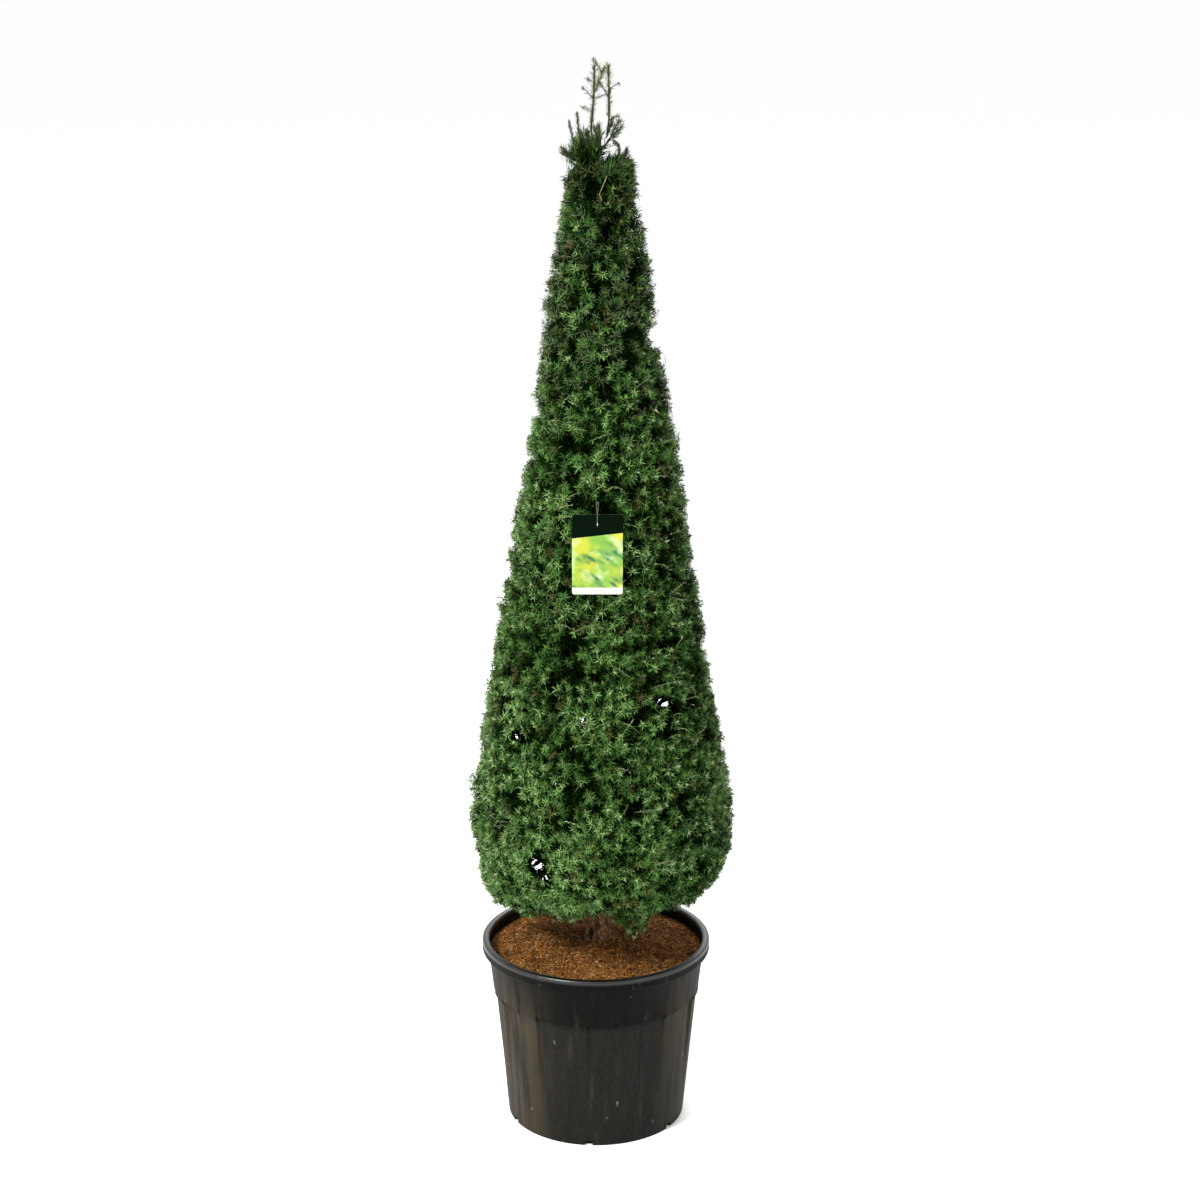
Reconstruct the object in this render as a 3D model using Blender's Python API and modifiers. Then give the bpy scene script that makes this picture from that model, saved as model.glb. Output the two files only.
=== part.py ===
"""A potted conifer clipped to a tall cone, standing in a 50-litre nursery pot.

Metres, +Z up, with the origin under the middle of the pot. The trunk rises whole through the crown. Boughs
leave it in tiers, and each one ends where a mass of foliage begins. A mass is one solid: a stem, branches,
twigs and sprays of needles that stand out of a smaller core.
"""

import math
import random

import bmesh
import bpy
from mathutils import Matrix, Vector
from mathutils.geometry import intersect_point_line

GAP = 0.0003  # air between two solids that touch on the real plant

# Nursery pot
POT_STEPS = 40
POT_HEIGHT = 0.380
RIM_RADIUS = 0.230
RIM_FOOT = 0.357
RIM_INNER_RADIUS = 0.2155
RIM_ROUNDING = 0.005
FLOOR_THICKNESS = 0.004
WALL_THICKNESS = 0.007  # over the ribs
BODY_FOOT_RADIUS = 0.1790
BODY_SLOPE = 0.0975  # growth of the body's radius for each metre of height
COLLAR_FOOT = 0.266
COLLAR_STEP = 0.004
EASING = 0.002  # the small slopes and chamfers at the pot's edges
PANELS = 12
PANEL_ANGLE = math.radians(17)
PANEL_TURN = math.radians(3.5)  # from the front towards the right
PANEL_TOP = 0.277
PANEL_FOOT = 0.035
PANEL_DEPTH = 0.005
DRAINS = 6
DRAIN_TURN = math.radians(-4.7)
DRAIN_WIDTH = 0.016
DRAIN_HEIGHT = 0.010
DRAIN_REACH = 0.010

# Growing medium
SOIL_TOP = 0.3585
SOIL_EDGE = 0.3545
SOIL_SEAT_RADIUS = 0.036
SOIL_SHOULDER = (0.142, 0.3567)  # radius and height where the dome begins to fall away

# Trunk, from a flat cut on the medium to its fork
TRUNK_FOOT = Vector((0.004, 0.0, SOIL_TOP + GAP))
TRUNK_FORK = Vector((0.008, 0.0, 1.930))
TRUNK_RADIUS = 0.0235
FORK_RADIUS = 0.0036
FLARE = 0.0085
FLARE_HEIGHT = 0.028
TRUNK_LENGTHS = 14
TRUNK_WANDER = 0.004
TRUNK_BENDS = (7, 5)  # how fast the wander turns along X and along Y, in radians from foot to fork
TRUNK_TAPER = 0.9

# Boughs
BOUGH_SWING = 0.15  # how far a bough may point to either side of its mass's middle, in radians
BOUGH_SAG = 0.03  # how far a bough's middle hangs below its ends, as a share of its length
BOUGH_GIRTH = 0.24  # a bough's foot, as a share of the trunk's radius there
BOUGH_TAPER = (1, 0.8, 0.65)
THINNEST_BOUGH = 0.002
BARE_TRUNK = 0.012  # least air between the trunk and the foliage round it

# Crown, clipped to a cone that rounds under at its foot
CROWN_X = 0.010
CROWN_FOOT = 0.460
CROWN_SHOULDER = 0.620
WIDEST_RADIUS = 0.2625
CONE_HEIGHT = 0.670
CONE_RADIUS = 0.259
CONE_SLOPE = 0.1537
UNDERCUT = 0.20
BUMPS = ((0.003, 3, 11), (0.0018, 7, -23))  # height, number round the crown and turn for each metre up
BARE_MIDDLE = 0.40  # radius of the bare middle, as a share of the crown's

# Tiers from the foot up: height of the floor, number of masses and azimuth of the first one's side
TIERS = (
    (0.445, 5, -62),
    (0.680, 4, -75),
    (0.900, 4, -45),
    (1.120, 4, -92.5),
    (1.370, 3, -30),
    (1.610, 3, -90),
    (1.800, 2, 0),
)
CROWN_TOP = 1.985
TIER_RISE = 0.30  # how steeply the floor between two tiers climbs outwards
FRONT_LIFT = 0.055  # how much higher the crown's foot is trimmed in front than behind

# Shoots that the clipping left above the crown: azimuth, distance from the axis and height of the tip
TOP_SHOOTS = (
    (180, 0.043, 2.020),
    (168, 0.056, 2.004),
    (-15, 0.036, 2.016),
    (-80, 0.030, 2.008),
    (95, 0.040, 2.012),
)
SHOOT_TOP = 2.024

# The two leaders, as (x, height) from the fork, with their side shoots as (start, tip)
LEADER_SPLIT_X = 0.0165
LEADER_RADIUS = 0.0015
LEADER_LEFT = ((0.0062, 1.9303), (-0.005, 1.975), (-0.0084, 1.995), (-0.0036, 2.053), (-0.0019, 2.112))
LEADER_RIGHT = ((0.0098, 1.9303), (0.0215, 1.985), (0.0246, 2.013), (0.025, 2.068), (0.0232, 2.108))
LEFT_SHOOTS = (
    ((-0.0036, 2.053), (-0.0218, 2.072)),
    ((-0.0060, 2.026), (-0.0215, 2.044)),
    ((-0.0030, 2.080), (0.0095, 2.100)),
)
RIGHT_SHOOTS = (((0.0249, 2.058), (0.0400, 2.078)), ((0.0248, 2.040), (0.0360, 2.052)))
LEADER_SPRAY = 0.016
LEADER_TAPER = 0.11  # what each length loses of the first one's radius
SIDE_SHOOT_NECK = 0.55  # how far along a side shoot its spray begins
SIDE_SHOOT_SWING = 0.004
TIP_NECK = 0.4  # how far the tip's spray is sunk into the stem, as a share of its length
TIP_SPRAY = 0.75  # size of the tip's spray
UPPER_SPRAYS = ((0.05, 0.0), (0.47, 2.4))  # place along the last length, and turn, of those under the tip
UPPER_SPRAY = 0.8
UPPER_NECK = 0.3
UPPER_CLIMB = math.radians(40)

# Where the clipped face is sunk, or swells where the depth is below zero: azimuth, height, depth, half-height
# and half-width
HOLLOWS = (
    (0, 1.610, 0.030, 0.016, 0.045),
    (180, 1.370, 0.020, 0.014, 0.045),
    (178, 1.150, 0.015, 0.012, 0.040),
    (182, 1.095, 0.012, 0.010, 0.040),
    (0, 1.150, 0.016, 0.012, 0.040),
    (180, 0.680, 0.016, 0.013, 0.050),
    (-78, 1.800, 0.030, 0.020, 0.016),
    (-92, 1.880, 0.022, 0.018, 0.016),
    (-103, 0.925, 0.040, 0.022, 0.020),
    (-115, 0.630, 0.035, 0.020, 0.020),
    (0, 1.865, 0.010, 0.100, 0.060),
    (0, 1.975, 0.016, 0.020, 0.060),
    (180, 1.958, -0.018, 0.014, 0.045),
    (180, 1.530, 0.011, 0.100, 0.080),
    (0, 1.240, 0.008, 0.050, 0.070),
    (180, 0.955, 0.007, 0.050, 0.080),
    (180, 0.712, -0.016, 0.020, 0.060),
    (180, 0.560, 0.017, 0.045, 0.150),
)

# Foliage. Lengths are those of a spray, from its neck to its tips.
SHORTEST_SPRAY = 0.032
SPRAY_GROWTH = 0.070  # growth of a spray for each metre of the crown's radius
SPRAY_STAND = 0.48  # how far the core lies below the clipped face, as a share of a spray's length
THICKEST_STAND = 0.28  # and the most that it may be, as a share of the crown's radius
SPACE_MARGIN = 0.001
CORE_INSET = 0.006
CORE_ROUNDING = 0.06
FOOT_INSET = 0.022
SPIKES = 5
SPIKE_LENGTHS = (0.95, 1.25)  # least and most, as shares of the spray's length
VALLEY = 0.24  # how far out the valleys between the spikes lie, as a share of the spray's length
VALLEY_RISE = 0.19  # how far they lie along its axis
HEART_RISE = 0.36  # and how far its middle stands out
NECK_DEPTH = 0.38  # how far a spray's neck lies below the clipped face, as a share of its length
SPRAY_SPACING = 1.78  # between necks, in lengths
TWIG_GIRTH = 0.056  # a twig's radius at its spray, as a share of the spray's length
TWIG_ROOT = 0.08  # how far out from the branch a twig's root lies
ROOT_FLARE = 1.4  # a twig's radius at its root, in radii at its spray
SIDE_JITTER = 0.15  # how far a spray strays within its column
ROW_JITTER = 0.2
SIZE_JITTER = 0.1
TURN_JITTER = 0.25
CLIMB_JITTER = 0.2
HEART_SHARE = 0.5  # how far out in the mass its stem parts into branches
BRANCH_SIDES = (-0.5, 0.5)
BRANCH_HEIGHTS = (0.3, 0.7)
BRANCH_REACH = 0.3
BRANCH_RADIUS = 0.0045
BRANCH_TAPER = 0.7
LEADING_LEAN = (5, 25)  # degrees from the spray's axis for its first spike
SPREAD_LEAN = (58, 80)  # and for the others
SHORTEST_SPIKE = 0.26  # what clipping may leave of a spike before its spray is left out
CLIPPING_STEP = 0.06
UPWARD_BIAS = math.radians(14)
TOP_BIAS = math.radians(38)
UNDER_LEAN = math.radians(-62)
UNDER_SIDES = (-0.6, 0.0, 0.6)  # places of the sprays that hang under a mass, from one side to the other
UNDER_JITTER = 0.1
UNDER_REACH = (0.72, 0.82)
UNDER_NECK = 0.75  # how far above the floor their necks lie, in lengths
TOP_SHOOT_CLIMB = math.radians(80)
TOP_SHOOT_SIZES = (1, 1.2)
LIMB_CLEARANCE = 0.0015
TOP_STEM_RADIUS = 0.0022
TOP_STEM_SHARE = 0.35  # how far up the top tier its stems leave the trunk

# Hanging card, its tie and the twig that carries them
CARD_WIDTH = 0.095
CARD_HEIGHT = 0.1505
CARD_THICKNESS = 0.0006
CARD_CORNER = 0.004
CARD_FOOT = Vector((0.0034, -0.192, 1.1535))
CARD_LEAN = math.radians(7.6)
HOLE_RADIUS = 0.0025
HOLE_DROP = 0.022
TIE_RADIUS = 0.0006
TIE_TURN = 0.0014  # radius of the tie's bend through the hole
TWIG_ABOVE_CARD = 0.022
CARD_TWIG_FOOT = 0.0032
CARD_TWIG_TIP = 0.0013
CARD_TWIG_CLIMB = math.radians(16)
CARD_TWIG_END = 0.009  # how far the twig runs on past the tie


def empty_the_scene():
    for old in list(bpy.data.objects):
        bpy.data.objects.remove(old, do_unlink=True)


def new_collection(name):
    made = bpy.data.collections.new(name)
    bpy.context.scene.collection.children.link(made)
    return made


def finish(ob, colour, roughness):
    """Gives the object a material of its own."""
    coat = bpy.data.materials.new(ob.name)
    coat.use_nodes = True
    shader = coat.node_tree.nodes["Principled BSDF"]
    shader.inputs["Base Color"].default_value = (*colour, 1)
    shader.inputs["Roughness"].default_value = roughness
    shader.inputs["Metallic"].default_value = 0
    ob.data.materials.append(coat)


def new_object(name, bm, collection):
    mesh = bpy.data.meshes.new(name)
    bm.to_mesh(mesh)
    bm.free()
    made = bpy.data.objects.new(name, mesh)
    collection.objects.link(made)
    return made


def solid_object(name, bm, collection):
    """An object of a closed mesh, with its faces turned outwards."""
    bmesh.ops.recalc_face_normals(bm, faces=bm.faces)
    if bm.calc_volume(signed=True) < 0:
        bmesh.ops.reverse_faces(bm, faces=bm.faces)
    return new_object(name, bm, collection)


def mesh_of(guide):
    """A new bmesh of a curve as it is evaluated, with its caps welded on. The curve is removed."""
    graph = bpy.context.evaluated_depsgraph_get()
    bm = bmesh.new()
    bm.from_mesh(bpy.data.meshes.new_from_object(guide.evaluated_get(graph)))
    bmesh.ops.remove_doubles(bm, verts=bm.verts, dist=0.00001)
    bpy.data.objects.remove(guide, do_unlink=True)
    return bm


def turned(name, profile, collection):
    """A solid turned round Z from (radius, height) points that start and end on the axis."""
    bm = bmesh.new()
    points = [bm.verts.new((radius, 0, height)) for radius, height in profile]
    for one, two in zip(points, points[1:]):
        bm.edges.new((one, two))
    made = new_object(name, bm, collection)
    turn = made.modifiers.new("turn", "SCREW")
    turn.steps = POT_STEPS
    turn.render_steps = POT_STEPS
    turn.use_merge_vertices = True
    turn.merge_threshold = 0.0001
    return made


def tube(name, points, radii, collection, resolution=1, closed=False):
    """A limb or wire through the points, tapering with the radii, with flat ends."""
    curve = bpy.data.curves.new(name, "CURVE")
    curve.dimensions = "3D"
    curve.bevel_depth = 1
    curve.bevel_resolution = resolution
    curve.use_fill_caps = not closed
    line = curve.splines.new("POLY")
    line.points.add(len(points) - 1)
    for knot, place, radius in zip(line.points, points, radii):
        knot.co = (*place, 1)
        knot.radius = radius
    line.use_cyclic_u = closed
    guide = bpy.data.objects.new(name, curve)
    collection.objects.link(guide)
    return solid_object(name, mesh_of(guide), collection)


def from_front(angle):
    """Azimuth of the direction that lies this angle to the right of the front, which is -Y."""
    return angle - math.pi / 2


def outwards(azimuth, climb=0.0):
    """Unit vector at this azimuth that climbs by this angle."""
    level = math.cos(climb)
    return Vector((math.cos(azimuth) * level, math.sin(azimuth) * level, math.sin(climb)))


def wrapped(angle):
    return (angle + math.pi) % math.tau - math.pi


def between(low, high, share):
    return low + (high - low) * share


def either_way(most, rng):
    """A random amount up to this much above or below zero."""
    return rng.uniform(-most, most)


def arc(centre, radius, first, turn, steps):
    """Points on an arc, from its first angle through this turn."""
    angles = [first + turn * step / steps for step in range(steps + 1)]
    return [(centre[0] + radius * math.cos(angle), centre[1] + radius * math.sin(angle)) for angle in angles]


# Pot and growing medium


def body_radius(height):
    return BODY_FOOT_RADIUS + BODY_SLOPE * height


def inside_radius(height):
    """The wall's inner face, which flares above the collar's foot to meet the rim."""
    if height <= COLLAR_FOOT:
        return body_radius(height) - WALL_THICKNESS
    flare = (height - COLLAR_FOOT) / (RIM_FOOT - COLLAR_FOOT)
    return between(inside_radius(COLLAR_FOOT), RIM_INNER_RADIUS, flare)


def add_pot(plant, cutters):
    """A thin shell turned with its rolled rim and collar, and cut for its sunk panels and drain slots."""
    shoulder = POT_HEIGHT - RIM_ROUNDING
    profile = [
        (0, FLOOR_THICKNESS),
        *((inside_radius(height), height) for height in (FLOOR_THICKNESS, COLLAR_FOOT, RIM_FOOT)),
        *arc((RIM_INNER_RADIUS + RIM_ROUNDING, shoulder), RIM_ROUNDING, math.pi, -math.pi / 2, 2),
        *arc((RIM_RADIUS - RIM_ROUNDING, shoulder), RIM_ROUNDING, math.pi / 2, -math.pi / 2, 2),
        (RIM_RADIUS, RIM_FOOT + EASING),
        (RIM_RADIUS - EASING, RIM_FOOT),
        (body_radius(RIM_FOOT) + COLLAR_STEP, RIM_FOOT),
        (body_radius(COLLAR_FOOT) + COLLAR_STEP, COLLAR_FOOT + EASING),
        (body_radius(COLLAR_FOOT), COLLAR_FOOT - EASING),
        (body_radius(EASING), EASING),
        (body_radius(0) - EASING, 0),
        (0, 0),
    ]
    pot = turned("pot", profile, plant)
    for index in range(PANELS):
        cut_away(pot, panel_cutter(index, cutters))
    for index in range(DRAINS):
        cut_away(pot, drain_cutter(index, cutters))
    finish(pot, (0.028, 0.028, 0.026), 0.5)


def cut_away(ob, cutter):
    cut = ob.modifiers.new(cutter.name, "BOOLEAN")
    cut.operation = "DIFFERENCE"
    cut.object = cutter


def wall_cutter(name, foot, head, half_width, azimuth, cutters):
    """A block that cuts the wall from outside as far in as its foot and head, each a (radius, height)."""
    bm = bmesh.new()
    bmesh.ops.create_cube(bm, size=2)
    for corner in bm.verts:
        radius, height = head if corner.co.z > 0 else foot
        if corner.co.x > 0:
            radius = RIM_RADIUS
        corner.co = (radius, corner.co.y * half_width, height)
    bmesh.ops.rotate(bm, verts=bm.verts, matrix=Matrix.Rotation(azimuth, 3, "Z"))
    block = solid_object(name, bm, cutters)
    block.hide_render = True
    block.display_type = "WIRE"
    return block


def panel_cutter(index, cutters):
    """A sunk panel between two ribs, square at its head and running out at its foot."""
    foot = (body_radius(PANEL_FOOT), PANEL_FOOT)
    head = (body_radius(PANEL_TOP) - PANEL_DEPTH, PANEL_TOP)
    half_width = body_radius(PANEL_TOP) * math.sin(PANEL_ANGLE / 2)
    azimuth = from_front(PANEL_TURN + index * math.tau / PANELS)
    return wall_cutter(f"panel_{index}", foot, head, half_width, azimuth, cutters)


def drain_cutter(index, cutters):
    """A drain slot through the foot of the wall."""
    inner = body_radius(0) - DRAIN_REACH
    azimuth = from_front(DRAIN_TURN + index * math.tau / DRAINS)
    foot = (inner, -FLOOR_THICKNESS)
    head = (inner, DRAIN_HEIGHT)
    return wall_cutter(f"drain_{index}", foot, head, DRAIN_WIDTH / 2, azimuth, cutters)


def add_soil(plant):
    """The medium fills the pot to a low dome, with a flat seat for the trunk's cut."""
    floor = FLOOR_THICKNESS + GAP
    profile = [
        (0, SOIL_TOP),
        (SOIL_SEAT_RADIUS, SOIL_TOP),
        SOIL_SHOULDER,
        *((inside_radius(height) - GAP, height) for height in (SOIL_EDGE, COLLAR_FOOT, floor)),
        (0, floor),
    ]
    soil = turned("soil", profile, plant)
    finish(soil, (0.085, 0.040, 0.014), 0.95)


# Trunk and boughs. A limb is a list of (point, radius), which the foliage keeps clear of.


def trunk_share(height):
    return (height - TRUNK_FOOT.z) / (TRUNK_FORK.z - TRUNK_FOOT.z)


def trunk_point(height):
    """The trunk's middle, which wanders between its foot and its fork."""
    share = trunk_share(height)
    sway = TRUNK_WANDER * math.sin(math.pi * share)
    bends_x, bends_y = TRUNK_BENDS
    wander = Vector((math.sin(bends_x * share), math.cos(bends_y * share + 1), 0)) * sway
    return TRUNK_FOOT.lerp(TRUNK_FORK, share) + wander


def trunk_radius(height):
    flare = FLARE * math.exp(-(height - TRUNK_FOOT.z) / FLARE_HEIGHT)
    return between(TRUNK_RADIUS, FORK_RADIUS, trunk_share(height) ** TRUNK_TAPER) + flare


def add_trunk(plant):
    """Heights crowd together in the flare. The first two points are plumb, so the foot's cut is level."""
    heights = [
        between(TRUNK_FOOT.z, TRUNK_FORK.z, (step / TRUNK_LENGTHS) ** 2.2)
        for step in range(TRUNK_LENGTHS + 1)
    ]
    limb = [(trunk_point(height), trunk_radius(height)) for height in heights]
    limb[1] = (Vector((*TRUNK_FOOT.xy, heights[1])), limb[1][1])
    trunk = tube("trunk", *zip(*limb), plant, resolution=6)
    finish(trunk, (0.085, 0.060, 0.042), 0.9)
    return limb


def trunk_side(azimuth, climb, height, radius):
    """Where a limb of this radius, with a flat end, starts just clear of the trunk's bark."""
    away = trunk_radius(height) + GAP + radius * abs(math.sin(climb))
    return trunk_point(height) + outwards(azimuth) * away


# Crown: the clipped face, and the spaces that the masses keep to


def crown_radius(height):
    """Distance from the crown's axis to its clipped face."""
    if height < CROWN_SHOULDER:
        under = (CROWN_SHOULDER - height) / (CROWN_SHOULDER - CROWN_FOOT)
        return WIDEST_RADIUS * (1 - UNDERCUT * min(under, 1) ** 3)
    return min(WIDEST_RADIUS, CONE_RADIUS - CONE_SLOPE * (height - CONE_HEIGHT))


def clipped_radius(azimuth, height):
    """The clipped face with its bumps and hollows."""
    radius = crown_radius(height)
    reach = radius + sum(rise * math.sin(count * azimuth + turn * height) for rise, count, turn in BUMPS)
    for where, level, depth, half_height, half_width in HOLLOWS:
        along = radius * wrapped(azimuth - math.radians(where)) / half_width
        up = (height - level) / half_height
        reach -= depth * math.exp(-(along**2) - up**2)
    return reach


def face_climb(height):
    """How far the clipped face looks upwards, or downwards where the crown rounds under."""
    step = 0.01
    return math.atan2(crown_radius(height - step) - crown_radius(height + step), 2 * step)


def floor_of(tier, radius):
    """Height of a tier's floor at this distance from the crown's axis."""
    if tier == len(TIERS):
        return CROWN_TOP
    height = TIERS[tier][0]
    if tier == 0:
        return height
    return height + TIER_RISE * (radius - crown_radius(height))


def spray_length(height):
    return SHORTEST_SPRAY + SPRAY_GROWTH * crown_radius(height)


def core_radius(height):
    """The core's outer face, which the sprays stand out of."""
    stand = min(SPRAY_STAND * spray_length(height), THICKEST_STAND * crown_radius(height))
    return crown_radius(height) - stand


def inner_radius(height):
    """Where the foliage begins round the bare middle of the crown."""
    return max(BARE_MIDDLE * crown_radius(height), trunk_radius(height) + BARE_TRUNK)


class Space:
    """The part of the crown that one mass keeps to: a sector of one tier."""

    def __init__(self, tier, index):
        floor, count, first_side = TIERS[tier]
        self.tier = tier
        self.name = f"{tier + 1}{'abcde'[index]}"
        self.half_angle = math.pi / count
        self.azimuth = math.radians(first_side) + (2 * index + 1) * self.half_angle
        self.floor = floor
        self.at_top = tier + 1 == len(TIERS)
        self.ceiling = CROWN_TOP if self.at_top else TIERS[tier + 1][0]
        self.middle = (self.floor + self.ceiling) / 2

    def floor_at(self, azimuth, radius):
        """The floor at a place, which for the lowest tier is trimmed higher in front."""
        lift = FRONT_LIFT * max(0, -math.sin(azimuth)) if self.tier == 0 else 0
        return floor_of(self.tier, radius) + lift

    def place(self, side, radius, share):
        """The point at this share of the half-angle, distance from the axis and share of the height."""
        azimuth = self.azimuth + side * self.half_angle
        height = between(self.floor_at(azimuth, radius), floor_of(self.tier + 1, radius), share)
        point = outwards(azimuth) * radius
        return Vector((CROWN_X + point.x, point.y, height))

    def ceiling_at(self, radius):
        """The top tier's shoots rise past the level that its core and its rows are laid out to."""
        if self.at_top:
            return SHOOT_TOP
        return floor_of(self.tier + 1, radius)

    def holds(self, point):
        across = Vector((point.x - CROWN_X, point.y))
        azimuth = math.atan2(across.y, across.x)
        inside = self.half_angle - abs(wrapped(azimuth - self.azimuth))
        radius = across.length
        return (
            inside > 0
            and radius * math.sin(min(inside, math.pi / 2)) > SPACE_MARGIN
            and point.z > self.floor_at(azimuth, radius) + SPACE_MARGIN
            and point.z < self.ceiling_at(radius) - SPACE_MARGIN
            and radius < clipped_radius(azimuth, point.z)
        )


def clear_of(limbs, point):
    """Whether the point lies outside every limb, with a little air."""
    for limb in limbs:
        for (start, one), (end, two) in zip(limb, limb[1:]):
            _, share = intersect_point_line(point, start, end)
            nearest = start.lerp(end, min(max(share, 0), 1))
            if (point - nearest).length < max(one, two) + LIMB_CLEARANCE:
                return False
    return True


def add_core(space, pieces):
    """A rounded block bent to the sector, inside the reach of its sprays."""
    bm = bmesh.new()
    bmesh.ops.create_cube(bm, size=2)
    bmesh.ops.subdivide_edges(bm, edges=bm.edges, cuts=1, use_grid_fill=True)
    lower = FOOT_INSET if space.tier == 0 else CORE_INSET
    upper = 2 * CORE_INSET if space.at_top else CORE_INSET
    for corner in bm.verts:
        outness = sum(abs(part) for part in corner.co)
        side, depth, rise = corner.co * (1 - CORE_ROUNDING * (outness - 1) / 2)
        level = between(space.floor, space.ceiling, (rise + 1) / 2)
        radius = between(inner_radius(level), core_radius(level), (depth + 1) / 2)
        inset = CORE_INSET / (radius * space.half_angle)
        corner.co = space.place(side * (1 - inset), radius, (rise + 1) / 2)
        corner.co.z += between(lower, -upper, (rise + 1) / 2)
    return solid_object("core", bm, pieces)


def add_twig(start, start_radius, end, end_radius, pieces):
    """A three-sided twig, closed at both ends."""
    along = (end - start).normalized()
    side = along.orthogonal().normalized()
    other = along.cross(side)
    spokes = [side * math.cos(i * math.tau / 3) + other * math.sin(i * math.tau / 3) for i in range(3)]
    bm = bmesh.new()
    foot = [bm.verts.new(start + spoke * start_radius) for spoke in spokes]
    head = [bm.verts.new(end + spoke * end_radius) for spoke in spokes]
    for i in range(3):
        bm.faces.new((foot[i - 1], foot[i], head[i], head[i - 1]))
    bm.faces.new(foot)
    bm.faces.new(head)
    return solid_object("twig", bm, pieces)


def clipped(neck, spike, holds):
    """The spike's tip, clipped shorter where it would leave its space, or None where too little is left."""
    share = 1.0
    while not (holds(neck + spike * share) and holds(neck + spike * share * 0.6)):
        share -= CLIPPING_STEP
        if share < SHORTEST_SPIKE:
            return None
    return neck + spike * share


def add_spray(root, neck, axis, length, holds, pieces, rng):
    """One closed solid: a three-sided twig from its sunk root to the neck, and a star of needle spikes on it.

    One spike stands nearly along the axis, and the others spread. A spray with no room for them is left out.
    """
    side = axis.orthogonal().normalized()
    other = axis.cross(side)
    turn = rng.uniform(0, math.tau)

    def spoke(angle):
        return side * math.cos(turn + angle) + other * math.sin(turn + angle)

    ring = []
    for i in range(SPIKES):
        lean = math.radians(rng.uniform(*(SPREAD_LEAN if i else LEADING_LEAN)))
        away = spoke(math.tau * i / SPIKES)
        spike = (away * math.sin(lean) + axis * math.cos(lean)) * length * rng.uniform(*SPIKE_LENGTHS)
        valley = (spoke(math.tau * (i + 0.5) / SPIKES) * VALLEY + axis * VALLEY_RISE) * length
        ring += [clipped(neck, spike, holds), neck + valley]
    if None in ring or not all(holds(point) for point in ring[1::2]):
        return False
    spokes = [spoke((2 * i + 1) * math.pi / 3) * length * TWIG_GIRTH for i in range(3)]
    bm = bmesh.new()
    foot = [bm.verts.new(root + spoke * ROOT_FLARE) for spoke in spokes]
    throat = [bm.verts.new(neck + spoke) for spoke in spokes]
    star = [bm.verts.new(point) for point in ring]
    heart = bm.verts.new(neck + axis * length * HEART_RISE)
    bm.faces.new(foot)
    for i in range(3):
        bm.faces.new((foot[i - 1], foot[i], throat[i], throat[i - 1]))
    count = len(star)
    for i in range(count):
        here, after = 3 * i // count, 3 * (i + 1) // count % 3
        one, two = star[i], star[(i + 1) % count]
        bm.faces.new((heart, one, two))
        bm.faces.new((throat[here], one, two))
        if here != after:
            bm.faces.new((throat[here], two, throat[after]))
    solid_object("spray", bm, pieces)
    return True


def body_volume(faces):
    """Signed volume of a closed set of faces: a hollow's is negative."""
    total = 0
    for face in faces:
        first, *rest = [corner.co for corner in face.verts]
        total += sum(first.dot(one.cross(two)) for one, two in zip(rest, rest[1:])) / 6
    return total


def keep_outer_body(bm):
    """Fills the hollows that fusing sealed, and drops loose scraps."""
    left = set(bm.faces)
    bodies = []
    while left:
        body = [left.pop()]
        for face in body:
            near = {other for edge in face.edges for other in edge.link_faces} & left
            left -= near
            body.extend(near)
        bodies.append(body)
    bodies.sort(key=body_volume)
    spare = [face for body in bodies[:-1] for face in body]
    bmesh.ops.delete(bm, geom=spare, context="FACES")


def fuse(name, body, pieces, plant):
    """Joins the pieces to the body as one closed solid, and removes them."""
    pieces.objects.unlink(body)
    plant.objects.link(body)
    join = body.modifiers.new("fuse", "BOOLEAN")
    join.operation = "UNION"
    join.operand_type = "COLLECTION"
    join.collection = pieces
    for solver in ("EXACT", "MANIFOLD"):
        join.solver = solver
        graph = bpy.context.evaluated_depsgraph_get()
        bm = bmesh.new()
        bm.from_mesh(bpy.data.meshes.new_from_object(body.evaluated_get(graph)))
        if all(edge.is_manifold for edge in bm.edges):
            break
        bm.free()
    keep_outer_body(bm)
    for used in [body, *pieces.objects]:
        bpy.data.objects.remove(used, do_unlink=True)
    return new_object(name, bm, plant)


def face_sprays(space, rng):
    """Neck, axis and length of each spray over the mass's share of the clipped face, row by row."""
    spacing = SPRAY_SPACING * spray_length(space.middle)
    rows = max(2, round((space.ceiling - space.floor) / spacing))
    for row in range(rows):
        height = between(space.floor, space.ceiling, (row + 0.5) / rows)
        columns = max(2, round(2 * space.half_angle * crown_radius(height) / spacing))
        stagger = 0.25 if row % 2 else -0.25
        for column in range(columns):
            side = 2 * (column + 0.5 + stagger + either_way(SIDE_JITTER, rng)) / columns - 1
            share = (row + 0.5 + either_way(ROW_JITTER, rng)) / rows
            azimuth = space.azimuth + side * space.half_angle
            length = spray_length(height) * (1 + either_way(SIZE_JITTER, rng))
            radius = clipped_radius(azimuth, height) - NECK_DEPTH * length
            neck = space.place(side, radius, share)
            near_top = max(0, neck.z - TIERS[-1][0]) / (CROWN_TOP - TIERS[-1][0])
            climb = face_climb(neck.z) + UPWARD_BIAS + TOP_BIAS * near_top + either_way(CLIMB_JITTER, rng)
            yield neck, outwards(azimuth + either_way(TURN_JITTER, rng), climb), length


def under_sprays(space, rng):
    """Sprays that hang under the lowest tier's rim."""
    for middle in UNDER_SIDES:
        side = middle + either_way(UNDER_JITTER, rng)
        length = spray_length(CROWN_FOOT)
        neck = space.place(side, crown_radius(CROWN_FOOT) * rng.uniform(*UNDER_REACH), 0)
        neck.z += length * UNDER_NECK
        azimuth = space.azimuth + side * space.half_angle
        yield neck, outwards(azimuth, UNDER_LEAN), length


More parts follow.
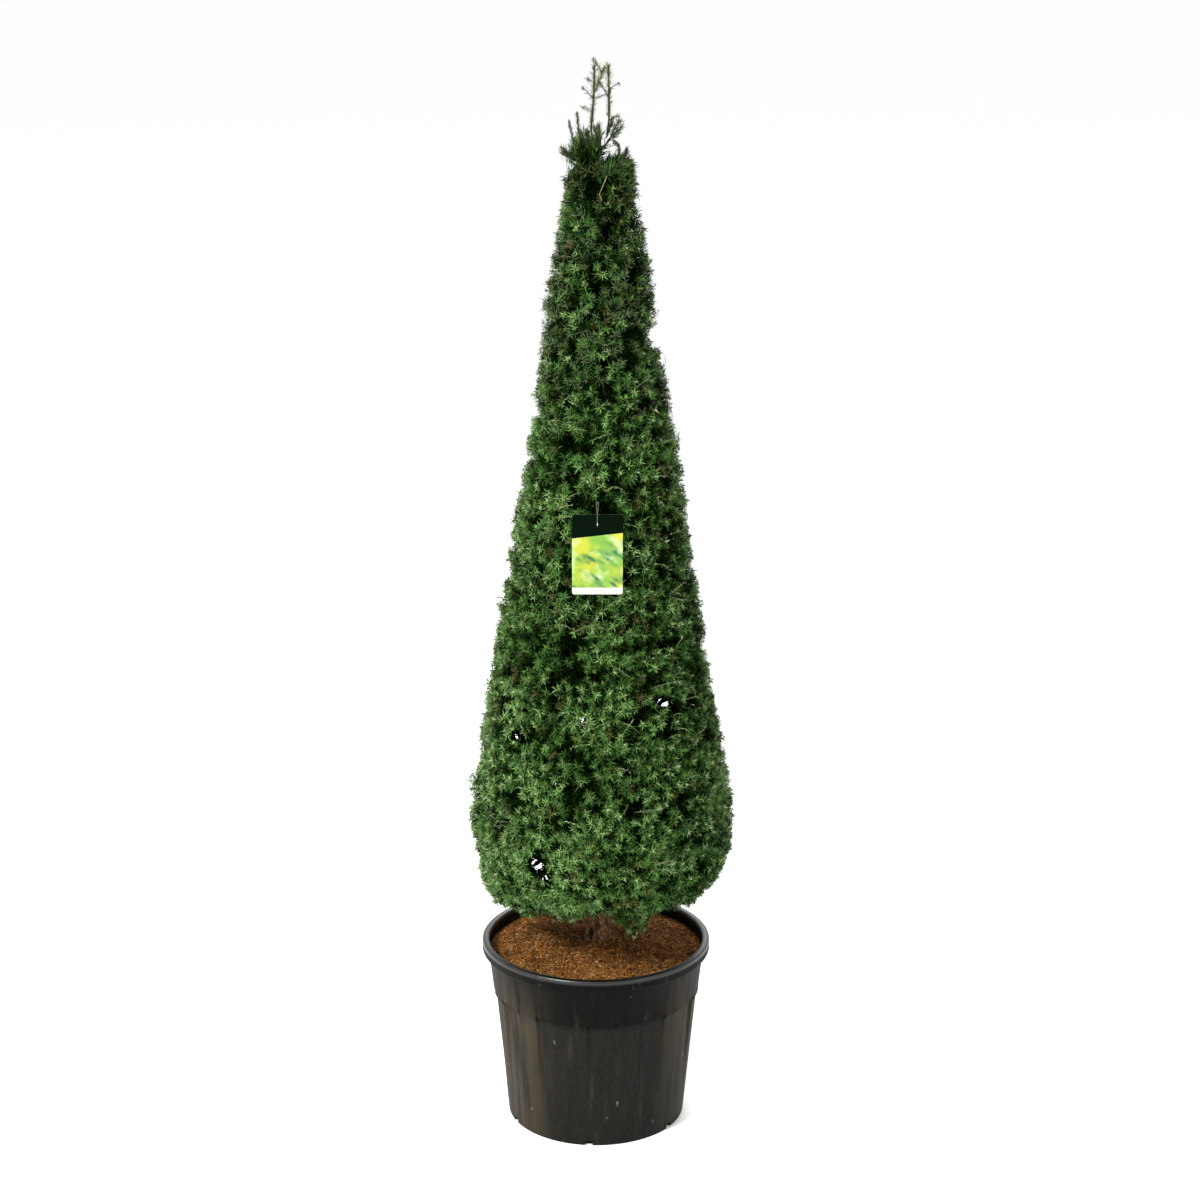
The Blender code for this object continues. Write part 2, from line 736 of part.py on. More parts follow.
def top_shoots(space, rng):
    """Shoots that stand above the crown in this sector of the top tier."""
    for degrees, radius, height in TOP_SHOOTS:
        side = wrapped(math.radians(degrees) - space.azimuth) / space.half_angle
        if abs(side) < 1:
            neck = space.place(side, radius, 0)
            neck.z = height - LEADER_SPRAY
            axis = outwards(math.radians(degrees), TOP_SHOOT_CLIMB)
            yield neck, axis, LEADER_SPRAY * rng.uniform(*TOP_SHOOT_SIZES)


def add_mass(space, start, along, stem_radius, limbs, plant, pieces):
    """Grows one mass from where its stem meets its bough or the trunk.

    The stem runs on into the core. Branches leave it for each quarter of the face, and a twig leaves the
    nearest branch for each spray.
    """
    rng = random.Random(f"mass {space.name}")

    def holds(point):
        return space.holds(point) and clear_of(limbs, point)

    core = add_core(space, pieces)
    inner, outer = inner_radius(space.middle), core_radius(space.middle)
    reach = between(inner, outer, HEART_SHARE) - (start.xy - Vector((CROWN_X, 0))).length
    heart = start + along * reach
    add_twig(start, stem_radius, heart, stem_radius * BRANCH_TAPER, pieces)
    branches = []
    flatness = math.cos(space.half_angle / 2)  # how much further in the core's faces lie halfway to a side
    for side in BRANCH_SIDES:
        for share in BRANCH_HEIGHTS:
            end = space.place(side, between(inner, outer, BRANCH_REACH) * flatness, share)
            add_twig(heart, BRANCH_RADIUS, end, BRANCH_RADIUS * BRANCH_TAPER, pieces)
            branches.append(end)
    places = list(face_sprays(space, rng))
    if space.tier == 0:
        places += under_sprays(space, rng)
    if space.at_top:
        places += top_shoots(space, rng)
    for neck, axis, length in places:
        fork = min(branches, key=lambda branch: (branch - neck).length)
        add_spray(fork.lerp(neck, TWIG_ROOT), neck, axis, length, holds, pieces, rng)
    mass = fuse(f"foliage_{space.name}", core, pieces, plant)
    finish(mass, (0.030, 0.068, 0.022), 0.75)


def add_bough(space, plant):
    """A tapering limb from the trunk's bark to where its mass begins.

    Returns its bend, its end and its radius there.
    """
    rng = random.Random(f"bough {space.name}")
    swing = either_way(BOUGH_SWING, rng)
    azimuth = space.azimuth + swing
    reach = inner_radius(space.middle) - BARE_TRUNK
    end = space.place(swing / space.half_angle, reach, 0.5)
    height = end.z - (reach - trunk_radius(space.middle)) * TIER_RISE
    foot_radius = THINNEST_BOUGH + BOUGH_GIRTH * trunk_radius(height)
    start = trunk_side(azimuth, math.atan(TIER_RISE - 2 * BOUGH_SAG), height, foot_radius)
    bend = start.lerp(end, 0.5) - Vector((0, 0, BOUGH_SAG * (end - start).length))
    radii = [foot_radius * taper for taper in BOUGH_TAPER]
    bough = tube(f"bough_{space.name}", (start, bend, end), radii, plant)
    finish(bough, (0.085, 0.058, 0.036), 0.9)
    return bend, end, radii[-1]


def add_leader(name, line, shoots, right, plant, pieces):
    """A leading shoot from the fork, with its side shoots and sparse sprays, on its own side of the split."""
    rng = random.Random(name)
    facing = 1 if right else -1

    def holds(point):
        beside = (point.x - LEADER_SPLIT_X) * facing
        return beside > SPACE_MARGIN and point.z > SHOOT_TOP + SPACE_MARGIN

    points = [Vector((x, 0, height)) for x, height in line]
    radii = [LEADER_RADIUS * (1 - LEADER_TAPER * step) for step in range(len(points))]
    stem = tube("stem", points, radii, pieces, resolution=0)
    for (start_x, start_z), (end_x, end_z) in shoots:
        start = Vector((start_x, 0, start_z))
        end = Vector((end_x, either_way(SIDE_SHOOT_SWING, rng), end_z))
        axis = (end - start).normalized()
        add_spray(start, start.lerp(end, SIDE_SHOOT_NECK), axis, LEADER_SPRAY, holds, pieces, rng)
    tip = points[-1]
    up = Vector((0, 0, 1))
    add_spray(tip - up * TIP_NECK * LEADER_SPRAY, tip, up, LEADER_SPRAY * TIP_SPRAY, holds, pieces, rng)
    for share, turn in UPPER_SPRAYS:
        root = points[-2].lerp(tip, share)
        axis = outwards(rng.uniform(0, 1) + turn, UPPER_CLIMB)
        neck = root + axis * LEADER_SPRAY * UPPER_NECK
        add_spray(root, neck, axis, LEADER_SPRAY * UPPER_SPRAY, holds, pieces, rng)
    leader = fuse(name, stem, pieces, plant)
    finish(leader, (0.105, 0.115, 0.045), 0.7)
    return list(zip(points, radii))


# Hanging card


def card_frame():
    """The card's upward direction and the direction that its printed face looks in."""
    up = Vector((0, math.sin(CARD_LEAN), math.cos(CARD_LEAN)))
    return up, Vector((0, -math.cos(CARD_LEAN), math.sin(CARD_LEAN)))


def card_twig_point():
    """Where the tie crosses the twig that carries the card."""
    up, _ = card_frame()
    return CARD_FOOT + up * CARD_HEIGHT + Vector((0, 0, TWIG_ABOVE_CARD))


def add_card_twig(plant):
    """A slim twig that runs out through the foliage to where the card hangs."""
    carried = card_twig_point()
    height = carried.z + (carried.y + trunk_radius(carried.z)) * math.tan(CARD_TWIG_CLIMB)
    start = trunk_side(from_front(0), CARD_TWIG_CLIMB, height, CARD_TWIG_FOOT)
    tip = carried + (carried - start).normalized() * CARD_TWIG_END
    limb = [(start, CARD_TWIG_FOOT), (carried, CARD_TWIG_TIP), (tip, CARD_TWIG_TIP * BRANCH_TAPER)]
    twig = tube("label_twig", *zip(*limb), plant)
    finish(twig, (0.110, 0.085, 0.040), 0.85)
    return limb


def add_closed_outline(curve, points):
    line = curve.splines.new("POLY")
    line.points.add(len(points) - 1)
    for knot, (x, y) in zip(line.points, points):
        knot.co = (x, y, 0, 1)
    line.use_cyclic_u = True


def add_card(plant):
    """A stiff printed card with rounded corners and a punched hole."""
    curve = bpy.data.curves.new("label_card", "CURVE")
    curve.dimensions = "2D"
    curve.fill_mode = "BOTH"
    curve.extrude = CARD_THICKNESS / 2
    outline = []
    for quarter, (right, high) in enumerate(((1, 1), (-1, 1), (-1, 0), (1, 0))):
        x = right * (CARD_WIDTH / 2 - CARD_CORNER)
        y = CARD_HEIGHT - CARD_CORNER if high else CARD_CORNER
        outline += arc((x, y), CARD_CORNER, quarter * math.pi / 2, math.pi / 2, 3)
    add_closed_outline(curve, outline)
    add_closed_outline(curve, arc((0, CARD_HEIGHT - HOLE_DROP), HOLE_RADIUS, 0, math.tau, 10)[:-1])
    guide = bpy.data.objects.new("label_card", curve)
    plant.objects.link(guide)
    bm = mesh_of(guide)
    stand = Matrix.Translation(CARD_FOOT) @ Matrix.Rotation(math.pi / 2 - CARD_LEAN, 4, "X")
    bmesh.ops.transform(bm, verts=bm.verts, matrix=stand)
    card = solid_object("label_card", bm, plant)
    finish(card, (0.25, 0.45, 0.10), 0.4)


def add_tie(plant):
    """A closed loop of cord: down one face of the card, through its hole, up the other and over the twig."""
    up, front = card_frame()
    hole_top = CARD_FOOT + up * (CARD_HEIGHT - HOLE_DROP + HOLE_RADIUS)
    card_top = CARD_FOOT + up * CARD_HEIGHT
    over = CARD_TWIG_TIP + TIE_RADIUS + 2 * GAP
    twig = card_twig_point()
    route = [hole_top + front * x + up * y for x, y in arc((0, 0), TIE_TURN, 0, -math.pi, 4)]
    route.append(card_top - front * TIE_TURN)
    route += [twig + Vector((x, 0, z)) for x, z in arc((0, 0), over, 0, math.pi, 4)]
    route.append(card_top + front * TIE_TURN)
    tie = tube("label_tie", route, [TIE_RADIUS] * len(route), plant, closed=True)
    finish(tie, (0.85, 0.85, 0.82), 0.5)


def main():
    empty_the_scene()
    plant = new_collection("potted_cone_topiary")
    cutters = new_collection("cutters")
    pieces = new_collection("pieces")
    add_pot(plant, cutters)
    add_soil(plant)
    limbs = [add_trunk(plant), add_card_twig(plant)]
    limbs.append(add_leader("leader_left", LEADER_LEFT, LEFT_SHOOTS, False, plant, pieces))
    limbs.append(add_leader("leader_right", LEADER_RIGHT, RIGHT_SHOOTS, True, plant, pieces))
    spaces = [Space(tier, index) for tier, (_, count, _) in enumerate(TIERS) for index in range(count)]
    for space in spaces:
        if space.at_top:
            radius = TOP_STEM_RADIUS
            start = trunk_side(space.azimuth, 0, between(space.floor, space.ceiling, TOP_STEM_SHARE), radius)
            along = outwards(space.azimuth)
        else:
            bend, end, radius = add_bough(space, plant)
            along = (end - bend).normalized()
            start = end + along * GAP
        add_mass(space, start, along, radius, limbs, plant, pieces)
    add_card(plant)
    add_tie(plant)
    bpy.data.collections.remove(pieces)


main()
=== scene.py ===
"""A conifer clipped to a tall cone, in a black nursery pot, dressed over its solids. Metres, +Z up.

The foliage grows by the same seeded rule as the solids, from the same boughs and within the same clipped
face, and is carried on to finer twigs, shoots and single needles.
"""

import math
import random

import bmesh
import bpy
import numpy as np
from mathutils import Matrix, Vector, noise


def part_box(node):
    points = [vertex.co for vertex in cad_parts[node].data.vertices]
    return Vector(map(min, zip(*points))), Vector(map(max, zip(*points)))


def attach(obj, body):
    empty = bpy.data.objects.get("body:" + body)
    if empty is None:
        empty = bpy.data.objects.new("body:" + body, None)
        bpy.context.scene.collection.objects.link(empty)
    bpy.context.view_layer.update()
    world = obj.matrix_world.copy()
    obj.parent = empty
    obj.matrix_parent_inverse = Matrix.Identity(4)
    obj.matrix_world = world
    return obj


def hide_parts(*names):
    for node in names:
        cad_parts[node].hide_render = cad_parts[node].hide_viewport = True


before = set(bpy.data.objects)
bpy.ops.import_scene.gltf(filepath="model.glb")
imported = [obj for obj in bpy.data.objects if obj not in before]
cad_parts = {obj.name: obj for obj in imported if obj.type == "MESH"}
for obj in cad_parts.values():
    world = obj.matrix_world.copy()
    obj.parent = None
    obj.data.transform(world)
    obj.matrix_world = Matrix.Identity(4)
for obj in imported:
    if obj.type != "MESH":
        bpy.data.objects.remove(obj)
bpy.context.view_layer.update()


# Nursery pot
# A 50-litre pot of thin black polypropylene, moulded in one piece: a rolled rim, a collar under it, sunk
# panels between ribs round the wall, and drain slots through its foot. It stands on its flat underside.

POT_HEIGHT = 0.380
RIM_RADIUS = 0.230
RIM_FOOT = 0.357
RIM_INNER_RADIUS = 0.2155
RIM_ROUNDING = 0.005
FLOOR_THICKNESS = 0.004
WALL_THICKNESS = 0.007
BODY_FOOT_RADIUS = 0.1790
BODY_SLOPE = 0.0975
COLLAR_FOOT = 0.266
COLLAR_STEP = 0.004
EASING = 0.002
PANELS = 12
PANEL_ANGLE = math.radians(17)
PANEL_TURN = math.radians(3.5)
PANEL_EDGE = math.radians(1.0)
PANEL_TOP = 0.277
PANEL_FOOT = 0.035
PANEL_DEPTH = 0.005
PANEL_RUN_OUT = 0.014
DRAINS = 6
DRAIN_TURN = math.radians(-4.7)
DRAIN_WIDTH = 0.016
DRAIN_HEIGHT = 0.010
DRAIN_REACH = 0.010
POT_STEPS = 360
CLEAN_MIDDLE = 0.02
WORN_BLACKS = ((0.0070, 0.0074, 0.0062), (0.0115, 0.0118, 0.0100))
FRESH_BLACKS = ((0.0014, 0.0015, 0.0012), (0.0030, 0.0030, 0.0025))
DUST_BROWN = (0.072, 0.056, 0.034)
DRIP_BROWN = (0.028, 0.024, 0.017)
SCUFF_GREY = (0.150, 0.130, 0.095)


def between(low, high, share):
    return low + (high - low) * share


def smooth(low, high, value):
    """Rises smoothly from 0 at low to 1 at high."""
    share = min(max((value - low) / (high - low), 0), 1)
    return share * share * (3 - 2 * share)


def arc(centre, radius, first, turn, steps):
    """Points on an arc, from its first angle through this turn."""
    angles = [first + turn * step / steps for step in range(steps + 1)]
    return [(centre[0] + radius * math.cos(angle), centre[1] + radius * math.sin(angle)) for angle in angles]


def from_front(angle):
    """Azimuth of the direction that lies this angle to the right of the front, which is -Y."""
    return angle - math.pi / 2


def body_radius(height):
    return BODY_FOOT_RADIUS + BODY_SLOPE * height


def inside_radius(height):
    """The wall's inner face, which flares above the collar's foot to meet the rim."""
    if height <= COLLAR_FOOT:
        return body_radius(height) - WALL_THICKNESS
    flare = (height - COLLAR_FOOT) / (RIM_FOOT - COLLAR_FOOT)
    return between(inside_radius(COLLAR_FOOT), RIM_INNER_RADIUS, flare)


def spun(profile, steps):
    """A closed mesh turned round Z from (radius, height) points that start and end on the axis."""
    bm = bmesh.new()
    points = [bm.verts.new((radius, 0, height)) for radius, height in profile]
    edges = [bm.edges.new(pair) for pair in zip(points, points[1:])]
    bmesh.ops.spin(
        bm, geom=points + edges, cent=(0, 0, 0), axis=(0, 0, 1), angle=math.tau, steps=steps, use_merge=True
    )
    bmesh.ops.remove_doubles(bm, verts=bm.verts, dist=0.00001)
    bmesh.ops.recalc_face_normals(bm, faces=bm.faces)
    return bm


def mesh_of(name, bm, sharp=math.radians(40)):
    """Shaded smooth but for edges sharper than this."""
    mesh = bpy.data.meshes.new(name)
    bm.to_mesh(mesh)
    bm.free()
    mesh.shade_smooth()
    mesh.set_sharp_from_angle(angle=sharp)
    return mesh


def placed(name, data):
    """A new object of the scene."""
    made = bpy.data.objects.new(name, data)
    bpy.context.scene.collection.objects.link(made)
    return made


def add_piece(name, mesh, coat, stands_for=()):
    """Shows a finished mesh as one piece of the plant, in place of the solids that it stands for."""
    piece = placed(name, mesh)
    mesh.materials.append(coat)
    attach(piece, "root")
    if stands_for:
        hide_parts(*stands_for)
    return piece


def new_coat(name, roughness, specular=0.5):
    """A material and its tree, with its Principled shader's plain values set."""
    coat = bpy.data.materials.new(name)
    coat.use_nodes = True
    shader = coat.node_tree.nodes["Principled BSDF"]
    shader.inputs["Roughness"].default_value = roughness
    shader.inputs["Specular IOR Level"].default_value = specular
    return coat, coat.node_tree, shader


def node(tree, kind, inputs=(), **settings):
    """A shader node with its settings, and its inputs each given as a value or as another node's output."""
    made = tree.nodes.new(kind)
    for key, value in settings.items():
        setattr(made, key, value)
    for key, value in dict(inputs).items():
        if isinstance(value, bpy.types.NodeSocket):
            tree.links.new(value, made.inputs[key])
        else:
            made.inputs[key].default_value = value
    return made


def mixed(tree, factor, one, two):
    """A colour between two others, each a colour or an output."""
    made = node(tree, "ShaderNodeMix", data_type="RGBA")
    for socket, value in zip((made.inputs[0], made.inputs[6], made.inputs[7]), (factor, one, two)):
        if isinstance(value, bpy.types.NodeSocket):
            tree.links.new(value, socket)
        elif socket.type == "RGBA":
            socket.default_value = (*value, 1)
        else:
            socket.default_value = value
    return made.outputs[2]


def ranged(tree, value, start, end, least=0.0, most=1.0):
    """How far a value lies from the start to the end, as a number from the least to the most."""
    inputs = {"Value": value, "From Min": start, "From Max": end, "To Min": least, "To Max": most}
    return node(tree, "ShaderNodeMapRange", inputs).outputs["Result"]


def reckoned(tree, operation, one, two=0.0):
    return node(tree, "ShaderNodeMath", {0: one, 1: two}, operation=operation).outputs["Value"]


def grained(tree, shader, place, scale, detail, depth, strength=1.0):
    """Gives the whole surface a fine grain."""
    grain = node(tree, "ShaderNodeTexNoise", {"Vector": place, "Scale": scale, "Detail": detail})
    relief = {"Height": grain.outputs["Fac"], "Distance": depth, "Strength": strength}
    bump = node(tree, "ShaderNodeBump", relief)
    tree.links.new(bump.outputs["Normal"], shader.inputs["Normal"])


def mottle_group():
    """A mask of soft-edged patches, for dust, wear, tone and painted shade."""
    group = bpy.data.node_groups.new("mottle", "ShaderNodeTree")
    group.interface.new_socket("Vector", in_out="INPUT", socket_type="NodeSocketVector")
    for name in ("Scale", "Detail", "Low", "High"):
        group.interface.new_socket(name, in_out="INPUT", socket_type="NodeSocketFloat")
    group.interface.new_socket("Mask", in_out="OUTPUT", socket_type="NodeSocketFloat")
    taken = node(group, "NodeGroupInput").outputs
    patches = node(group, "ShaderNodeTexNoise", {key: taken[key] for key in ("Vector", "Scale", "Detail")})
    levels = {"Value": patches.outputs["Fac"], "From Min": taken["Low"], "From Max": taken["High"]}
    mask = node(group, "ShaderNodeMapRange", levels, interpolation_type="SMOOTHSTEP")
    given = node(group, "NodeGroupOutput")
    group.links.new(mask.outputs["Result"], given.inputs["Mask"])
    return group


MOTTLE = mottle_group()


def mottled(tree, vector, scale, low, high, detail=4.0):
    inputs = {"Vector": vector, "Scale": scale, "Detail": detail, "Low": low, "High": high}
    return node(tree, "ShaderNodeGroup", node_tree=MOTTLE, inputs=inputs).outputs["Mask"]


def own_place(tree):
    """The piece's own coordinates."""
    return node(tree, "ShaderNodeTexCoord").outputs["Object"]


def stretched(tree, scale, place=None):
    """The piece's own coordinates, or others, drawn out along the axes with small numbers."""
    inputs = {"Vector": place or own_place(tree), "Scale": scale}
    return node(tree, "ShaderNodeMapping", inputs).outputs["Vector"]


def panel_share(azimuth, height):
    """How fully a point of the wall lies in a sunk panel: 0 on a rib, 1 on the panel's floor."""
    pitch = math.tau / PANELS
    turn = (azimuth - from_front(PANEL_TURN)) / pitch
    aside = abs(turn - round(turn)) * pitch
    across = 1 - smooth(PANEL_ANGLE / 2 - PANEL_EDGE, PANEL_ANGLE / 2, aside)
    return across * (1 - smooth(PANEL_TOP - EASING, PANEL_TOP, height))


def panel_floor(height):
    """The panel's floor, which runs out to the wall at the panel's foot."""
    deep = PANEL_DEPTH * (height - PANEL_FOOT) / (PANEL_TOP - PANEL_FOOT)
    return body_radius(height) - max(deep, 0)


def pot_profile():
    shoulder = POT_HEIGHT - RIM_ROUNDING
    rise = PANEL_TOP - PANEL_RUN_OUT - PANEL_FOOT
    wall = [PANEL_FOOT + rise * step / 8 for step in range(9)]
    edge = [(body_radius(COLLAR_FOOT) + COLLAR_STEP, PANEL_TOP - EASING * step / 3) for step in range(-1, 4)]
    step_in = (body_radius(COLLAR_FOOT), COLLAR_FOOT)
    return [
        (0, FLOOR_THICKNESS),
        *((inside_radius(height), height) for height in (FLOOR_THICKNESS, COLLAR_FOOT, RIM_FOOT)),
        *arc((RIM_INNER_RADIUS + RIM_ROUNDING, shoulder), RIM_ROUNDING, math.pi, -math.pi / 2, 8),
        *arc((RIM_RADIUS - RIM_ROUNDING, shoulder), RIM_ROUNDING, math.pi / 2, -math.pi / 2, 8),
        *arc((RIM_RADIUS - EASING, RIM_FOOT + EASING), EASING, 0, -math.pi / 2, 4),
        (body_radius(RIM_FOOT) + COLLAR_STEP + EASING, RIM_FOOT),
        (body_radius(RIM_FOOT) + COLLAR_STEP, RIM_FOOT - EASING),
        *edge,
        (step_in[0] + COLLAR_STEP, step_in[1] + 2 * EASING),
        (step_in[0] + COLLAR_STEP * 0.7, step_in[1] + EASING),
        (step_in[0] + COLLAR_STEP * 0.3, step_in[1]),
        (step_in[0], step_in[1] - EASING),
        *((body_radius(height), height) for height in reversed(wall)),
        (body_radius(DRAIN_HEIGHT), DRAIN_HEIGHT),
        *arc((body_radius(0) - EASING, EASING), EASING, 0, -math.pi / 2, 3),
        (0, 0),
    ]


def pot_mesh():
    bm = spun(pot_profile(), POT_STEPS)
    for corner in bm.verts:
        radius = corner.co.xy.length
        height = corner.co.z
        if PANEL_FOOT < height < PANEL_TOP and radius > inside_radius(height) + WALL_THICKNESS / 2:
            share = panel_share(math.atan2(corner.co.y, corner.co.x), height)
            corner.co.xy *= between(radius, panel_floor(height), share) / radius
    cutter = bmesh.new()
    for index in range(DRAINS):
        azimuth = from_front(DRAIN_TURN + index * math.tau / DRAINS)
        middle = (body_radius(0) - DRAIN_REACH + RIM_RADIUS) / 2
        size = Vector((RIM_RADIUS - body_radius(0) + DRAIN_REACH, DRAIN_WIDTH, 2 * DRAIN_HEIGHT))
        turn = Matrix.Rotation(azimuth, 4, "Z")
        place = turn @ Matrix.Translation((middle, 0, 0)) @ Matrix.Diagonal((*size, 1))
        block = bmesh.ops.create_cube(cutter, size=1, matrix=place)["verts"]
        uprights = [e for v in block for e in v.link_edges if abs(e.verts[0].co.z - e.verts[1].co.z) < 1e-6]
        edges = list(set(uprights))
        bmesh.ops.bevel(
            cutter, geom=edges, offset=EASING, affect="EDGES", segments=2, profile=0.5, material=-1
        )
    body = placed("pot_blank", mesh_of("pot_blank", bm))
    slots = placed("drain_blank", mesh_of("drain_blank", cutter))
    cut = body.modifiers.new("drains", "BOOLEAN")
    cut.operation = "DIFFERENCE"
    cut.object = slots
    graph = bpy.context.evaluated_depsgraph_get()
    mesh = bpy.data.meshes.new_from_object(body.evaluated_get(graph))
    for blank in (body, slots):
        bpy.data.objects.remove(blank, do_unlink=True)
    return mesh


def pot_coat():
    """Black recycled plastic, glossy on its rim, with drips and pale scuffs, and brown dust on its flanks."""
    coat, tree, shader = new_coat("black_pot_plastic", 0.5, 0.10)
    whole = own_place(tree)
    axes = node(tree, "ShaderNodeSeparateXYZ", {"Vector": whole}).outputs
    aside = reckoned(tree, "ABSOLUTE", reckoned(tree, "SUBTRACT", axes["X"], CLEAN_MIDDLE))
    flanks = ranged(tree, aside, 0.10, 0.18, 0.04, 0.7)
    low = ranged(tree, axes["Z"], RIM_FOOT, COLLAR_FOOT - 0.03, 0.15)
    front = ranged(tree, axes["Y"], -0.03, -0.11, 0.30)
    dust = mottled(tree, stretched(tree, (1, 1, 0.06)), 45.0, 0.25, 0.62)
    for share in (flanks, low, front):
        dust = reckoned(tree, "MULTIPLY", dust, share)
    drips = mottled(tree, stretched(tree, (1, 1, 0.08)), 75.0, 0.56, 0.84)
    scuffs = mottled(tree, stretched(tree, (1, 1, 0.5)), 85.0, 0.73, 0.80, 2.0)
    specks = mottled(tree, whole, 260.0, 0.40, 0.66)
    worn = mixed(tree, specks, *WORN_BLACKS)
    fresh = mixed(tree, specks, *FRESH_BLACKS)
    below_collar = ranged(tree, axes["Z"], COLLAR_FOOT + 0.01, COLLAR_FOOT - 0.01)
    plastic = mixed(tree, below_collar, fresh, worn)
    dusty = mixed(tree, dust, plastic, DUST_BROWN)
    dripped = mixed(tree, drips, dusty, DRIP_BROWN)
    scuffed = mixed(tree, scuffs, dripped, SCUFF_GREY)
    tree.links.new(scuffed, shader.inputs["Base Color"])
    rim = ranged(tree, axes["Z"], RIM_FOOT + 0.012, POT_HEIGHT - RIM_ROUNDING)
    tree.links.new(ranged(tree, rim, 0, 1, 0.55, 0.30), shader.inputs["Roughness"])
    tree.links.new(ranged(tree, rim, 0, 1, 0.05, 0.50), shader.inputs["Specular IOR Level"])
    grained(tree, shader, whole, 420.0, 4.0, 0.0005, 0.6)
    return coat


add_piece("nursery_pot", pot_mesh(), pot_coat(), ["pot"])


# Growing medium
# Moist bark and coir fill the pot to a low, uneven dome about 20 mm under the rim. The crumbs and fibres on
# top are loose pieces that are pressed into the surface.

SOIL_TOP = 0.3585
SOIL_EDGE = 0.3545
SOIL_SEAT_RADIUS = 0.036
SOIL_SHOULDER = (0.142, 0.3567)
SOIL_DEPTH = 0.05
SOIL_SINK = 0.0012
CALM_MARGIN = 0.012
CLUMP_RISE = 0.0048
CLUMPS_PER_METRE = 26
CRUMB_RISE = 0.0014
CRUMBS_PER_METRE = 210
GAP = 0.0003
TRUNK_X = 0.004
MOUND_HEIGHT = 0.022
MOUND_RADIUS = 0.058
SOIL_STEPS = 220
SOIL_RINGS = 84
CRUMBS = 9000
SMALLEST_CRUMB = (0.0016, 0.0011, 0.0008)
LARGEST_CRUMB = (0.0074, 0.0042, 0.0025)
CRUMB_COLOURS = {
    "orange": (0.410, 0.152, 0.024),
    "brown": (0.240, 0.088, 0.016),
    "dark": (0.085, 0.032, 0.008),
    "tan": (0.640, 0.360, 0.120),
}
CRUMB_SHARES = {"orange": 0.34, "brown": 0.32, "dark": 0.22, "tan": 0.12}
FIBRES = 1100
FIBRE_LENGTHS = (0.006, 0.020)
FIBRE_RADIUS = 0.00042
FIBRE_COLOUR = (0.55, 0.30, 0.11)


def soil_level(radius):
    if radius < SOIL_SHOULDER[0]:
        return between(SOIL_TOP, SOIL_SHOULDER[1], smooth(SOIL_SEAT_RADIUS, SOIL_SHOULDER[0], radius))
    share = (radius - SOIL_SHOULDER[0]) / (RIM_INNER_RADIUS - SOIL_SHOULDER[0])
    return between(SOIL_SHOULDER[1], SOIL_EDGE, share)


def soil_surface(x, y):
    """The clumpy top of the medium, which lies smoother against the wall."""
    radius = math.hypot(x, y)
    calm = 1 - smooth(RIM_INNER_RADIUS - CALM_MARGIN, RIM_INNER_RADIUS, radius)
    mound = MOUND_HEIGHT * math.exp(-((math.hypot(x - TRUNK_X, y) / MOUND_RADIUS) ** 2))
    clumps = noise.fractal(Vector((x, y, 0)) * CLUMPS_PER_METRE, 1.0, 2.0, 4)
    crumbs = noise.noise(Vector((x, y, 3)) * CRUMBS_PER_METRE)
    return soil_level(radius) - SOIL_SINK + mound + (CLUMP_RISE * clumps + CRUMB_RISE * crumbs) * calm


def soil_mesh():
    reach = inside_radius(SOIL_EDGE) - GAP
    rings = [(reach * step / SOIL_RINGS, 0) for step in range(SOIL_RINGS + 1)]
    bm = spun([*rings, (reach - 0.004, -SOIL_DEPTH), (0, -SOIL_DEPTH)], SOIL_STEPS)
    for corner in bm.verts:
        if corner.co.z < 0:
            corner.co.z += SOIL_EDGE
        else:
            corner.co.z = soil_surface(corner.co.x, corner.co.y)
    return mesh_of("growing_medium", bm)


def joined_mesh(name, points, triangles):
    """One mesh of many small shapes, from arrays of points and of triangles that index them."""
    mesh = bpy.data.meshes.new(name)
    mesh.vertices.add(len(points))
    mesh.vertices.foreach_set("co", np.ascontiguousarray(points, np.float32).ravel())
    mesh.loops.add(triangles.size)
    mesh.loops.foreach_set("vertex_index", np.ascontiguousarray(triangles, np.int32).ravel())
    mesh.polygons.add(len(triangles))
    mesh.polygons.foreach_set("loop_start", np.arange(0, triangles.size, 3, dtype=np.int32))
    mesh.update(calc_edges=True)
    return mesh


def repeated(shape, copies):
    """Triangles of a shape with this many copies, each with its own run of points."""
    faces = np.array(shape)
    step = faces.max() + 1
    return (faces[None] + step * np.arange(copies)[:, None, None]).reshape(-1, 3)


def unit(vectors):
    return vectors / np.linalg.norm(vectors, axis=-1, keepdims=True)


def random_turns(count, rng):
    """Three crossed unit vectors for each copy, turned at random."""
    first = unit(rng.normal(size=(count, 3)))
    second = unit(np.cross(first, rng.normal(size=(count, 3))))
    return np.stack([first, second, np.cross(first, second)], axis=1)


def soil_spots(count, rng, margin):
    """Places on the surface, even over its area."""
    azimuth = rng.uniform(0, math.tau, count)
    radius = (RIM_INNER_RADIUS - margin) * np.sqrt(rng.uniform(0, 1, count))
    flat = np.stack([radius * np.cos(azimuth), radius * np.sin(azimuth)], axis=1)
    return np.array([(x, y, soil_surface(x, y)) for x, y in flat])


